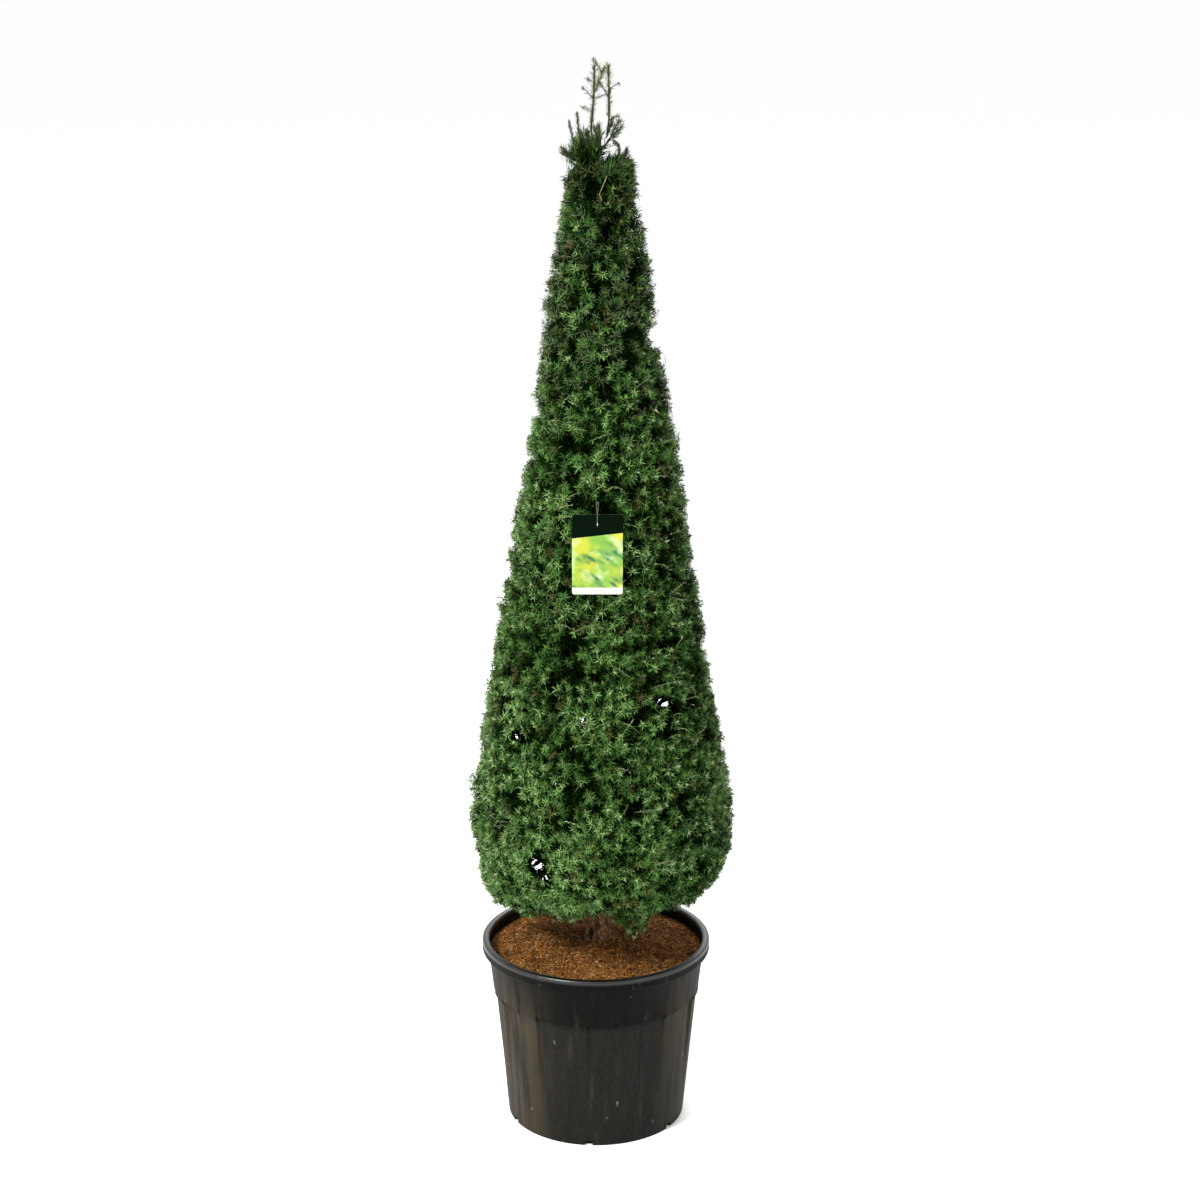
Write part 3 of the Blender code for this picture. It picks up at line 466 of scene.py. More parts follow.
def crumb_mesh(name, count, rng):
    """Angular crumbs of six corners and eight faces, each a little different."""
    corners = np.array([(1, 0, 0), (-1, 0, 0), (0, 1, 0), (0, -1, 0), (0, 0, 1), (0, 0, -1)], float)
    faces = [(0, 2, 4), (2, 1, 4), (1, 3, 4), (3, 0, 4), (2, 0, 5), (1, 2, 5), (3, 1, 5), (0, 3, 5)]
    sizes = rng.uniform(SMALLEST_CRUMB, LARGEST_CRUMB, (count, 3))
    shapes = corners[None] * sizes[:, None] * rng.uniform(0.65, 1.3, (count, 6, 1))
    placed = np.einsum("nci,nij->ncj", shapes, random_turns(count, rng))
    placed[:, :, 2] *= 0.7
    spots = soil_spots(count, rng, 0.006)
    return joined_mesh(name, (placed + spots[:, None]).reshape(-1, 3), repeated(faces, count))


def tubes(lines, radii, sides):
    """Closed tubes along lines of points, shaped (tube, ring, 3), with a radius for each ring."""
    copies, rings, _ = lines.shape
    along = unit(np.gradient(lines, axis=1))
    upright = np.where(np.abs(along[:, :1, 2:]) < 0.85, [0.0, 0.0, 1.0], [1.0, 0.0, 0.0])
    side = unit(np.cross(along, upright))
    other = np.cross(along, side)
    angles = np.arange(sides) * math.tau / sides
    ring = np.cos(angles)[:, None] * side[:, :, None] + np.sin(angles)[:, None] * other[:, :, None]
    points = lines[:, :, None] + ring * radii[:, :, None, None]
    faces = []
    for row in range(rings - 1):
        for i in range(sides):
            here, after = row * sides + i, row * sides + (i + 1) % sides
            faces += [(here, after + sides, after), (here, here + sides, after + sides)]
    last = (rings - 1) * sides
    faces += [(0, i, i + 1) for i in range(1, sides - 1)]
    faces += [(last, last + i + 1, last + i) for i in range(1, sides - 1)]
    return points.reshape(-1, 3), repeated(faces, copies)


def bent_lines(starts, bends, ends, rings):
    """Lines that leave their starts towards the bends and reach their ends, as (tube, ring, 3)."""
    share = np.linspace(0, 1, rings)[None, :, None]
    starts, bends, ends = (np.array(places, float)[:, None] for places in (starts, bends, ends))
    return starts * (1 - share) ** 2 + bends * 2 * share * (1 - share) + ends * share**2


def fibre_mesh(name, count, rng):
    """Thin curled strands of coir, lying flat."""
    spots = soil_spots(count, rng, 0.020)
    azimuth = rng.uniform(0, math.tau, (count, 1))
    length = rng.uniform(*FIBRE_LENGTHS, (count, 1))
    away = np.hstack([np.cos(azimuth), np.sin(azimuth), rng.uniform(-0.12, 0.25, (count, 1))]) * length
    sideways = np.hstack([-np.sin(azimuth), np.cos(azimuth), rng.uniform(0, 0.5, (count, 1))])
    bends = spots + sideways * length * rng.uniform(-0.6, 0.6, (count, 1))
    lines = bent_lines(spots - away, bends, spots + away, 5) + np.array([0, 0, 0.0008])
    radii = np.full((count, 5), FIBRE_RADIUS) * rng.uniform(0.7, 1.4, (count, 1))
    return joined_mesh(name, *tubes(lines, radii, 3))


def soil_coat(name, colour):
    """Moist organic matter: dark in its pores, as painted shade, and a little lighter where it dries."""
    coat, tree, shader = new_coat(name, 0.9, 0.14)
    place = own_place(tree)
    damp = mottled(tree, place, 24.0, 0.36, 0.62)
    pore_shade = mottled(tree, place, 240.0, 0.38, 0.62)
    wet = mixed(tree, damp, [0.58 * part for part in colour], colour)
    tree.links.new(mixed(tree, pore_shade, [0.35 * part for part in colour], wet), shader.inputs["Base Color"])
    grained(tree, shader, place, 420.0, 6.0, 0.0012)
    return coat


medium_coat = soil_coat("moist_medium", CRUMB_COLOURS["brown"])
add_piece("growing_medium", soil_mesh(), medium_coat, ["soil"])
soil_rng = np.random.default_rng(50)
for tone, share in CRUMB_SHARES.items():
    crumbs = crumb_mesh(f"crumbs_{tone}", round(CRUMBS * share), soil_rng)
    add_piece(f"crumbs_{tone}", crumbs, soil_coat(f"medium_{tone}", CRUMB_COLOURS[tone]))
fibres = fibre_mesh("coir_fibres", FIBRES, soil_rng)
add_piece("coir_fibres", fibres, soil_coat("coir", FIBRE_COLOUR))


# Trunk
# One stem from a flat cut on the medium, with a small root flare, that leans and tapers up to the fork. Its
# bark is thin and scaly, grey-brown on the plates and red-brown in the cracks between them, which painted
# shade darkens almost to black.

TRUNK_FOOT = Vector((TRUNK_X, 0.0, SOIL_TOP + GAP))
TRUNK_FORK = Vector((0.008, 0.0, 1.930))
TRUNK_RADIUS = 0.0235
FORK_RADIUS = 0.0036
FLARE = 0.0085
FLARE_HEIGHT = 0.028
TRUNK_WANDER = 0.004
TRUNK_BENDS = (7, 5)
TRUNK_TAPER = 0.9
TRUNK_SIDES = 60
TRUNK_RINGS = 460
RING_CROWDING = 1.6
PLATE_RELIEF = 0.15
PLATES_ROUND = 95
PLATES_UPWARDS = 32
BUTTRESSES = 5
BUTTRESS_RELIEF = 0.10
# Colours of the bark's plates, of its cracks, darkened almost to black by painted shade, and of its younger
# patches
TRUNK_BARK = ((0.280, 0.145, 0.066), (0.014, 0.006, 0.003), (0.560, 0.380, 0.210))


def trunk_share(height):
    return (height - TRUNK_FOOT.z) / (TRUNK_FORK.z - TRUNK_FOOT.z)


def trunk_point(height):
    """The trunk's middle, which wanders between its foot and its fork."""
    share = trunk_share(height)
    sway = TRUNK_WANDER * math.sin(math.pi * share)
    bends_x, bends_y = TRUNK_BENDS
    wander = Vector((math.sin(bends_x * share), math.cos(bends_y * share + 1), 0)) * sway
    return TRUNK_FOOT.lerp(TRUNK_FORK, share) + wander


def trunk_radius(height):
    flare = FLARE * math.exp(-(height - TRUNK_FOOT.z) / FLARE_HEIGHT)
    return between(TRUNK_RADIUS, FORK_RADIUS, trunk_share(height) ** TRUNK_TAPER) + flare


def outwards(azimuth, climb=0.0):
    """Unit vector at this azimuth that climbs by this angle."""
    level = math.cos(climb)
    return Vector((math.cos(azimuth) * level, math.sin(azimuth) * level, math.sin(climb)))


def bark_relief(azimuth, height, radius):
    """Height of the bark from -1 in a crack to 1 on a plate, in upright flakes."""
    around = outwards(azimuth) * radius
    place = Vector((around.x * PLATES_ROUND, around.y * PLATES_ROUND, height * PLATES_UPWARDS))
    plates = 1 - 2.6 * abs(noise.noise(place))
    return 0.75 * plates + 0.35 * noise.noise(place * 3.1)


def trunk_mesh():
    bm = bmesh.new()
    bmesh.ops.create_grid(bm, x_segments=TRUNK_SIDES, y_segments=TRUNK_RINGS, size=1)
    relief = bm.verts.layers.float.new("relief")
    for corner in bm.verts:
        azimuth = math.pi * corner.co.x
        height = between(TRUNK_FOOT.z, TRUNK_FORK.z, ((corner.co.y + 1) / 2) ** RING_CROWDING)
        radius = trunk_radius(height)
        corner[relief] = bark_relief(azimuth, height, radius)
        buttress = BUTTRESS_RELIEF * math.cos(BUTTRESSES * azimuth + 1)
        buttress *= math.exp(-(height - TRUNK_FOOT.z) / FLARE_HEIGHT)
        radius *= 1 - PLATE_RELIEF * 0.7 + PLATE_RELIEF * corner[relief] + buttress
        corner.co = trunk_point(height) + outwards(azimuth) * radius
    bmesh.ops.remove_doubles(bm, verts=bm.verts, dist=0.00001)
    bmesh.ops.holes_fill(bm, edges=[edge for edge in bm.edges if edge.is_boundary])
    bmesh.ops.recalc_face_normals(bm, faces=bm.faces)
    return mesh_of("trunk_bark", bm, math.radians(80))


def bark_coat(name, plate, crack, young):
    """Scaly bark. The relief goes by the mesh's own heights where it has them."""
    coat, tree, shader = new_coat(name, 0.88, 0.2)
    place = stretched(tree, (1, 1, 0.35))
    lichen = mottled(tree, place, 60.0, 0.45, 0.72)
    flakes = mottled(tree, place, 330.0, 0.40, 0.62)
    relief = node(tree, "ShaderNodeAttribute", attribute_name="relief").outputs["Fac"]
    height = ranged(tree, relief, -0.5, 0.7)
    plates = mixed(tree, lichen, plate, young)
    flaked = mixed(tree, flakes, [0.35 * part for part in plate], plates)
    # Low relief shows the crack colour, which on the trunk is partly painted shade
    tree.links.new(mixed(tree, height, crack, flaked), shader.inputs["Base Color"])
    grained(tree, shader, place, 500.0, 5.0, 0.0008)
    return coat


trunk_coat = bark_coat("trunk_bark", *TRUNK_BARK)
add_piece("trunk_bark", trunk_mesh(), trunk_coat, ["trunk"])


# Crown
# The clipped face is a cone that rounds under at its foot. Boughs leave the trunk in tiers, and each mass of
# foliage keeps to a sector of one tier. The sizes and the rule are the solids', with more and deeper hollows.

CROWN_X = 0.010
CROWN_FOOT = 0.460
CROWN_SHOULDER = 0.620
WIDEST_RADIUS = 0.2625
CONE_HEIGHT = 0.670
CONE_RADIUS = 0.259
CONE_SLOPE = 0.1537
UNDERCUT = 0.20
# Waves of the clipped face, as (rise, number round the crown, turn for each metre of height)
BUMPS = ((0.003, 3, 11), (0.0018, 7, -23))
BARE_MIDDLE = 0.40
BARE_TRUNK = 0.012
# The height of each tier's floor, the number of masses in it and the azimuth where the first begins
TIERS = (
    (0.445, 5, -62),
    (0.680, 4, -75),
    (0.900, 4, -45),
    (1.120, 4, -92.5),
    (1.370, 3, -30),
    (1.610, 3, -90),
    (1.800, 2, 0),
)
CROWN_TOP = 1.985
TIER_RISE = 0.30
FRONT_LIFT = 0.055
# Hollows and, where the depth is negative, swellings, as (azimuth, height, depth, half height, half width)
HOLLOWS = (
    (0, 1.608, 0.046, 0.017, 0.055),
    (180, 1.370, 0.028, 0.014, 0.050),
    (178, 1.150, 0.022, 0.012, 0.045),
    (182, 1.095, 0.018, 0.010, 0.045),
    (0, 1.150, 0.024, 0.012, 0.045),
    (180, 0.680, 0.024, 0.013, 0.055),
    (-78, 1.812, 0.050, 0.030, 0.020),
    (-97, 1.879, 0.046, 0.024, 0.016),
    (-101, 0.990, 0.045, 0.022, 0.020),
    (-116, 0.622, 0.038, 0.022, 0.022),
    (182, 1.932, 0.036, 0.016, 0.050),
    (180, 1.422, 0.024, 0.009, 0.040),
    (180, 1.197, 0.014, 0.009, 0.040),
    (180, 1.047, 0.016, 0.009, 0.045),
    (0, 1.456, 0.014, 0.012, 0.040),
    (0, 1.366, 0.016, 0.009, 0.040),
    (0, 1.865, 0.010, 0.100, 0.060),
    (0, 1.975, 0.016, 0.020, 0.060),
    (180, 1.958, -0.018, 0.014, 0.045),
    (180, 1.530, 0.011, 0.100, 0.080),
    (0, 1.240, 0.008, 0.050, 0.070),
    (180, 1.127, 0.010, 0.020, 0.050),
    (180, 0.955, 0.007, 0.050, 0.080),
    (180, 0.712, -0.016, 0.020, 0.060),
    (180, 0.560, 0.017, 0.045, 0.150),
    (0, 1.620, 0.007, 0.080, 0.060),
    (180, 1.462, 0.008, 0.020, 0.050),
    (-113, 0.956, 0.038, 0.019, 0.015),
    (-74, 0.879, 0.034, 0.017, 0.017),
    (-129, 0.867, 0.034, 0.017, 0.019),
    (-106, 1.096, 0.028, 0.014, 0.015),
    (-57, 0.936, 0.034, 0.015, 0.032),
    (-48, 0.738, 0.028, 0.015, 0.022),
)
BOUGH_SWING = 0.15
BOUGH_SAG = 0.03
BOUGH_GIRTH = 0.24
BOUGH_TAPER = 0.65
THINNEST_BOUGH = 0.002
TOP_STEM_RADIUS = 0.0022
TOP_STEM_SHARE = 0.35
BRANCH_RADIUS = 0.0045
BRANCH_TAPER = 0.7


def crown_radius(height):
    """Distance from the crown's axis to its clipped face, for one height or an array of them."""
    under = np.clip((CROWN_SHOULDER - height) / (CROWN_SHOULDER - CROWN_FOOT), 0, 1)
    cone = np.minimum(WIDEST_RADIUS, CONE_RADIUS - CONE_SLOPE * (height - CONE_HEIGHT))
    return np.where(height < CROWN_SHOULDER, WIDEST_RADIUS * (1 - UNDERCUT * under**3), cone)


def clipped_radius(azimuth, height):
    """The clipped face with its bumps and hollows, for one place or arrays of them."""
    radius = crown_radius(height)
    reach = radius + sum(rise * np.sin(count * azimuth + turn * height) for rise, count, turn in BUMPS)
    for where, level, depth, half_height, half_width in HOLLOWS:
        aside = (azimuth - math.radians(where) + math.pi) % math.tau - math.pi
        along = radius * aside / half_width
        up = (height - level) / half_height
        reach = reach - depth * np.exp(-(along**2) - up**2)
    return reach


def floor_of(tier, radius):
    """Height of a tier's floor at this distance from the crown's axis."""
    if tier == len(TIERS):
        return CROWN_TOP
    height = TIERS[tier][0]
    if tier == 0:
        return height
    return height + TIER_RISE * (radius - float(crown_radius(height)))


def inner_radius(height):
    """Where the foliage begins round the bare middle of the crown."""
    return max(BARE_MIDDLE * float(crown_radius(height)), trunk_radius(height) + BARE_TRUNK)


class Space:
    """The part of the crown that one mass keeps to: a sector of one tier."""

    def __init__(self, tier, index):
        floor, count, first_side = TIERS[tier]
        self.tier = tier
        self.name = f"{tier + 1}{'abcde'[index]}"
        self.half_angle = math.pi / count
        self.azimuth = math.radians(first_side) + (2 * index + 1) * self.half_angle
        self.floor = floor
        self.at_top = tier + 1 == len(TIERS)
        self.ceiling = CROWN_TOP if self.at_top else TIERS[tier + 1][0]
        self.middle = (self.floor + self.ceiling) / 2

    def place(self, side, radius, share):
        """The point at this share of the half-angle, distance from the axis and share of the height."""
        azimuth = self.azimuth + side * self.half_angle
        lift = FRONT_LIFT * max(0, -math.sin(azimuth)) if self.tier == 0 else 0
        height = between(floor_of(self.tier, radius) + lift, floor_of(self.tier + 1, radius), share)
        point = outwards(azimuth) * radius
        return Vector((CROWN_X + point.x, point.y, height))


def trunk_side(azimuth, climb, height, radius):
    """Where a limb of this radius, with a flat end, starts just clear of the trunk's bark."""
    away = trunk_radius(height) + GAP + radius * abs(math.sin(climb))
    return trunk_point(height) + outwards(azimuth) * away


# Boughs
# Each leaves the trunk's bark, sags a little and ends where its mass begins. There its stem runs on to the
# heart of the mass, where it parts into branches. All have thin scaly bark.

LIMB_RINGS = 9
MASS_REACH = 0.85
BRANCH_SIDES = (-0.5, 0.5)
BRANCH_LEVELS = (0.3, 0.7)
BRANCH_REACH = 0.3
BRANCH_ARCH = 0.08
spaces = [Space(tier, index) for tier, (_, count, _) in enumerate(TIERS) for index in range(count)]
limbs = []


def add_bough(space):
    """Returns the bough's end, its direction there and its radius."""
    rng = random.Random(f"bough {space.name}")
    swing = rng.uniform(-BOUGH_SWING, BOUGH_SWING)
    azimuth = space.azimuth + swing
    reach = inner_radius(space.middle) - BARE_TRUNK
    end = space.place(swing / space.half_angle, reach, 0.5)
    height = end.z - (reach - trunk_radius(space.middle)) * TIER_RISE
    foot_radius = THINNEST_BOUGH + BOUGH_GIRTH * trunk_radius(height)
    start = trunk_side(azimuth, math.atan(TIER_RISE - 2 * BOUGH_SAG), height, foot_radius)
    into_bark = trunk_point(height)
    bend = start.lerp(end, 0.5) - Vector((0, 0, BOUGH_SAG * (end - start).length))
    limbs.append((into_bark.lerp(start, 0.6), bend, end, foot_radius, BOUGH_TAPER * foot_radius))
    return end, (end - bend).normalized(), BOUGH_TAPER * foot_radius


def add_branches(space):
    """The stem and its branches, as the solids have them. Returns the branches' ends."""
    if space.at_top:
        height = between(space.floor, space.ceiling, TOP_STEM_SHARE)
        start = trunk_side(space.azimuth, 0, height, TOP_STEM_RADIUS)
        along, radius = outwards(space.azimuth), TOP_STEM_RADIUS
    else:
        start, along, radius = add_bough(space)
    inner = inner_radius(space.middle)
    outer = inner + (float(crown_radius(space.middle)) - inner) * MASS_REACH
    reach = between(inner, outer, 0.5) - (start.xy - Vector((CROWN_X, 0))).length
    heart = start + along * reach
    limbs.append((start, start.lerp(heart, 0.5), heart, radius, radius * BRANCH_TAPER))
    flatness = math.cos(space.half_angle / 2)
    ends = []
    for side in BRANCH_SIDES:
        for share in BRANCH_LEVELS:
            end = space.place(side, between(inner, outer, BRANCH_REACH) * flatness, share)
            rise = Vector((0, 0, BRANCH_ARCH * (end - heart).length))
            girth = min(BRANCH_RADIUS, radius) * BRANCH_TAPER
            limbs.append((heart, heart.lerp(end, 0.5) + rise, end, girth, girth * BRANCH_TAPER))
            ends.append(end)
    return ends


# Twigs, shoots and needles
# A twig grows from the nearest branch to each of many places below the clipped face, and parts into short
# shoots. Star-shaped tufts of needles stand on the shoots' outer ends, and the shears cut them to the face.

TWIG_SPACING = 0.047
TWIG_DEPTH = 0.040
TWIG_RADII = (0.0023, 0.0011)
TWIG_OVER_FOOT = 0.012
TWIG_UNDER_TOP = 0.040
TWIG_TUFTS = (0.15, 0.33, 0.51, 0.69, 0.84, 0.97)
SHOOTS_PER_TWIG = 12
SHOOT_SPREAD = 0.034
SHOOT_RADII = (0.0010, 0.0006)
SHOOT_LIFT = 0.010
SHOOT_SHORTFALL = (0.001, 0.011)
SPIRAL_TURN = 2.4
TUFT_STEP = 0.0085
NEEDLES = (14, 11, 8)
NEEDLE_LENGTH = 0.0118
NEEDLE_WIDTH = 0.0019
NEEDLE_TURN = 2.39996
INNER_NEEDLES = 13
INNER_NEEDLE_LENGTH = 0.030
INNER_NEEDLE_WIDTH = 0.0074
INNER_LEANS = (35, 95)
INNER_CLEARANCE = 0.018
BRANCH_TUFTS = (0.3, 0.55, 0.8, 1.0)
BRANCH_NEEDLES = 14
BRANCH_NEEDLE_SIZE = 1.2
SHADED_NEEDLES = 6
SHADED_NEEDLE_LENGTH = 0.7 * INNER_NEEDLE_LENGTH
SHADED_NEEDLE_WIDTH = 0.6 * INNER_NEEDLE_WIDTH
SPARED_SHOOTS = 0.09
SPARED_SHOOT_REACH = (0.003, 0.009)
SPARED_NEEDLE_REACH = 0.0055
MOST_SPARED = 0.011
OVERHANG = 0.002
CLUMP_SCALE = 27
CLUMP_DEPTH = 0.026
# Depths under the face past which needles are painted dark, as painted shade
SHADED_DEPTH = 0.030
OLD_SHADE_DEPTH = 0.019
LIT_HOLLOW = 0.022
DULL_SHARE = 0.45
FOOT_RADIUS = 0.21
FOOT_LEVEL = 0.458
FOOT_CLIMB = 0.29
FOOT_FRONT = 0.066
FOOT_CORNER = 0.20
FOOT_UPTURN = 1.4
# Waves of the crown's underside, as (rise, number round the crown, phase)
FOOT_WAVES = ((0.006, 9, 2), (0.009, 37, 0))
# Tufts that hang below the crown's foot, as (x, y, drop, radius)
HANGING_TUFTS = (
    (0.085, -0.125, 0.056, 0.032),
    (0.010, -0.120, 0.020, 0.060),
    (-0.058, -0.125, 0.030, 0.024),
    (-0.125, -0.140, 0.022, 0.022),
    (0.050, -0.100, 0.026, 0.020),
    (0.165, -0.130, -0.020, 0.055),
)
PEAK_X = -0.010
PEAK_LEVEL = 1.981
PEAK_RADIUS = 0.020
PEAK_FALL = 0.047
PEAK_RAGGEDNESS = 0.030
TOP_ASCENT = 0.026
# Needle tones: 'deep' is painted shade inside the crown, and 'pale' a painted highlight, but on the young
# arching shoots
NEEDLE_COLOURS = {
    "deep": (0.0025, 0.0080, 0.0012),
    "dark": (0.0080, 0.0230, 0.0030),
    "mid": (0.0265, 0.0730, 0.0098),
    "fresh": (0.0545, 0.1430, 0.0205),
    "bright": (0.1350, 0.2550, 0.0600),
    "bronze": (0.0600, 0.0560, 0.0160),
    "dull": (0.0560, 0.0860, 0.0360),
    "olive": (0.0900, 0.1150, 0.0260),
    "pale": (0.3300, 0.4300, 0.2200),
}
# The next darker tone of each, for painted shade on needles further into a tuft or a shoot
SHADE_TONES = {
    "pale": "fresh",
    "bright": "mid",
    "olive": "mid",
    "bronze": "dark",
    "dull": "dark",
    "fresh": "mid",
    "mid": "dark",
    "dark": "deep",
    "deep": "deep",
}
# The next lighter tone of each, for a painted highlight in the middle of a shoot's tip tuft
HIGHLIGHT_TONES = {
    "deep": "dark",
    "dark": "mid",
    "mid": "fresh",
    "fresh": "bright",
    "bronze": "olive",
    "dull": "olive",
    "olive": "bright",
    "bright": "pale",
    "pale": "pale",
}
# Where one can see right through the crown, as (x, height, radius) on the plane through the trunk
SIGHT_GAPS = (
    (-0.1133, 0.527, 0.012),
    (-0.1235, 0.539, 0.009),
    (-0.1000, 0.502, 0.009),
    (0.1280, 0.876, 0.008),
    (0.1400, 0.873, 0.009),
    (-0.1550, 0.808, 0.009),
    (-0.1460, 0.796, 0.006),
    (-0.0800, 0.885, 0.006),
    (0.0160, 1.947, 0.008),
    (0.0150, 1.974, 0.005),
    (0.0255, 1.977, 0.006),
)
VIEWPOINT = (0.0083, -4.876, 2.505)
THICK_STEM = 0.004
CARD_BORDER = 0.002
MOST_TRIANGLES = 190000

twigs = []
shoots = []
tufts = {colour: [] for colour in NEEDLE_COLOURS}


def in_sight_gap(points, margin=0.0):
    """Which points one sees in one of the gaps from the viewpoint."""
    from_eye = points - VIEWPOINT
    on_plane = VIEWPOINT + from_eye * (-VIEWPOINT[1] / from_eye[:, 1:2])
    ragged = 1 + 0.7 * np.sin(points[:, 0] * 850) * np.sin(points[:, 2] * 750 + 250 * points[:, 1])
    hit = np.zeros(len(points), bool)
    for x, height, radius in SIGHT_GAPS:
        hit |= np.hypot(on_plane[:, 0] - x, on_plane[:, 2] - height) < radius * ragged + margin
    return hit


def foot_level(x, y):
    """Height of the crown's underside, which climbs outwards and is trimmed higher in front."""
    radius = np.hypot(x, y)
    front = np.maximum(-y, 0) / np.maximum(radius, 0.001)
    azimuth = np.arctan2(y, x)
    waves = sum(rise * np.sin(count * azimuth + phase) for rise, count, phase in FOOT_WAVES)
    level = FOOT_LEVEL + FOOT_CLIMB * (radius - FOOT_RADIUS) + FOOT_FRONT * front + waves
    level = level + FOOT_UPTURN * np.maximum(radius - FOOT_CORNER, 0) * (1 - front)
    for tuft_x, tuft_y, drop, width in HANGING_TUFTS:
        level = level - drop * np.exp(-((x - tuft_x) ** 2 + (y - tuft_y) ** 2) / width**2)
    return level


def foot_under(place):
    """Height of the crown's underside at one place."""
    return float(foot_level(place.x, place.y))


def face_rows(space, spacing, rng):
    """Side and share of the height of places over the mass's share of the clipped face, row by row."""
    rows = max(2, round((space.ceiling - space.floor) / spacing))
    for row in range(rows):
        height = between(space.floor, space.ceiling, (row + 0.5) / rows)
        columns = max(2, round(2 * space.half_angle * float(crown_radius(height)) / spacing))
        stagger = 0.25 if row % 2 else -0.25
        for column in range(columns):
            side = 2 * (column + 0.5 + stagger + rng.uniform(-0.22, 0.22)) / columns - 1
            yield side, (row + 0.5 + rng.uniform(-0.24, 0.24)) / rows


def face_climb(height):
    """How far the clipped face looks upwards, or downwards where the crown rounds under."""
    step = 0.01
    return math.atan2(float(crown_radius(height - step)) - float(crown_radius(height + step)), 2 * step)


def needle_colour(depth, place, rng):
    """Old needles deep in the crown are painted dark, as painted shade. Near the face the colour goes by
    patches, by chance and by painted light and shade.
    """
    if depth > SHADED_DEPTH:
        return "deep"
    if depth > OLD_SHADE_DEPTH:
        return "deep" if rng.random() < 0.35 else "dark"
    if noise.noise(place * 30 + Vector((5, 1, 9))) > between(0.50, 0.42, smooth(1.4, 1.7, place.z)):
        return "bronze"
    if rng.random() < DULL_SHARE * smooth(1.35, 1.65, place.z):
        return "dull"
    patch = 0.5 * noise.noise(place * 12) + 0.4 * noise.noise(place * 60) + rng.gauss(0.02, 0.26)
    # Painted shade and light: darker further in from the face, lighter towards the left, where the light
    # falls, and lighter low down
    patch -= 14 * max(0, depth - 0.007) + 0.08 * place.x / WIDEST_RADIUS
    sunlit = 0.08 * smooth(0.02, -0.12, place.x) * smooth(1.2, 0.7, place.z)
    patch += 0.06 + 0.15 * smooth(1.25, 0.65, place.z) + sunlit
    if patch < -0.22:
        return "dark"
    if patch < 0.05:
        return "mid"
    if patch < 0.30:
        return "fresh"
    if patch < 0.52:
        return "olive" if rng.random() < 0.35 else "bright"
    return "bright"


def add_tuft(place, axis, count, length, spread, colour, rng, width=NEEDLE_WIDTH):
    """A tuft is kept as its place, axis, needle length and width, least and most lean, number and turn."""
    tufts[colour].append((*place, *axis, length, width, *spread, count, rng.uniform(0, math.tau)))


def add_old_shade_tuft(place, axis, count, size, rng):
    """A coarse tuft of old needles in painted shade, larger or smaller than the usual by this factor."""
    width = INNER_NEEDLE_WIDTH * size
    add_tuft(place, axis, count, INNER_NEEDLE_LENGTH * size, INNER_LEANS, "deep", rng, width)


def leaning(way, amount, rng):
    """A unit vector near this way, off it by chance."""
    aside = Vector((rng.gauss(0, amount), rng.gauss(0, amount), rng.gauss(0, amount)))
    return (way + aside).normalized()


def on_line(start, bend, end, share):
    return start * (1 - share) ** 2 + bend * 2 * share * (1 - share) + end * share**2


def peak_level(x, y):
    """Height that the shears leave the crown's top at: ragged, and steep round a middle left of the trunk."""
    radius = math.hypot(x - PEAK_X, y)
    ragged = PEAK_RAGGEDNESS * noise.noise(Vector((x, y, 0)) * 65)
    return PEAK_LEVEL - PEAK_FALL * smooth(PEAK_RADIUS, 2.2 * PEAK_RADIUS, radius) + ragged


def depth_of(place, hollows=True):
    """How far a place lies inside the clipped face, or inside the plain cone, or under the crown's top."""
    azimuth = math.atan2(place.y, place.x - CROWN_X)
    height = min(place.z, CROWN_TOP)
    reach = clipped_radius(azimuth, height) if hollows else crown_radius(height)
    return min(float(reach) - math.hypot(place.x - CROWN_X, place.y), peak_level(place.x, place.y) - place.z)


def add_shoot(root, tip, near_top, rng):
    """A short shoot with its tufts: a painted highlight on the tip's young middle, painted shade further in.
    """
    length = (tip - root).length
    bend = root.lerp(tip, 0.5) + Vector((0, 0, length * rng.uniform(-0.05, 0.16)))
    shoots.append((root, bend, tip, *SHOOT_RADII))
    direction = (tip - bend).normalized()
    azimuth = math.atan2(tip.y, tip.x - CROWN_X)
    out = outwards(azimuth, face_climb(tip.z) + 0.15 + 0.6 * near_top)
    size = NEEDLE_LENGTH * rng.uniform(0.85, 1.2) * (1 + 0.9 * near_top)
    widest = 90 - 42 * near_top
    leans = (widest / 2, widest)
    # The depth sets the painted shade: needles in hollows count as deeper, those near the top as shallower
    depth = max(depth_of(tip), depth_of(tip, False) - LIT_HOLLOW) * (1 - 0.6 * near_top)
    colour = needle_colour(depth, tip, rng)
    for step, count in enumerate(NEEDLES):
        share = 1 - step * TUFT_STEP * (1 + 0.5 * near_top) / length
        if share < 0.2:
            break
        place = on_line(root, bend, tip, share)
        axis = leaning(direction * (0.4 + 0.5 * near_top) + out * 0.6, 0.30, rng)
        count = round(count * (1 - 0.35 * near_top))
        if depth_of(place) > SHADED_DEPTH:
            # Tufts deep in the crown are old needles in the deep tone, as painted shade
            old_in_shade = (SHADED_NEEDLES, SHADED_NEEDLE_LENGTH, (30, 95), "deep")
            add_tuft(place, axis, *old_in_shade, rng, SHADED_NEEDLE_WIDTH)
        elif step == 0:
            part = count // 3
            add_tuft(place, axis, part, size * 0.66, (6, 34), HIGHLIGHT_TONES[colour], rng)
            add_tuft(place, axis, count - 2 * part + 1, size, leans, colour, rng)
            add_tuft(place, axis, part - 1, size * 1.1, leans, SHADE_TONES[colour], rng)
        elif step == 1:
            add_tuft(place, axis, count // 4, size, leans, colour, rng)
            colour = SHADE_TONES[colour]
            add_tuft(place, axis, count - count // 4, size * 1.1, leans, colour, rng)
        else:
            colour = SHADE_TONES[colour]
            add_tuft(place, axis, count, size * 1.4, (40, 90), colour, rng, NEEDLE_WIDTH * 1.3)


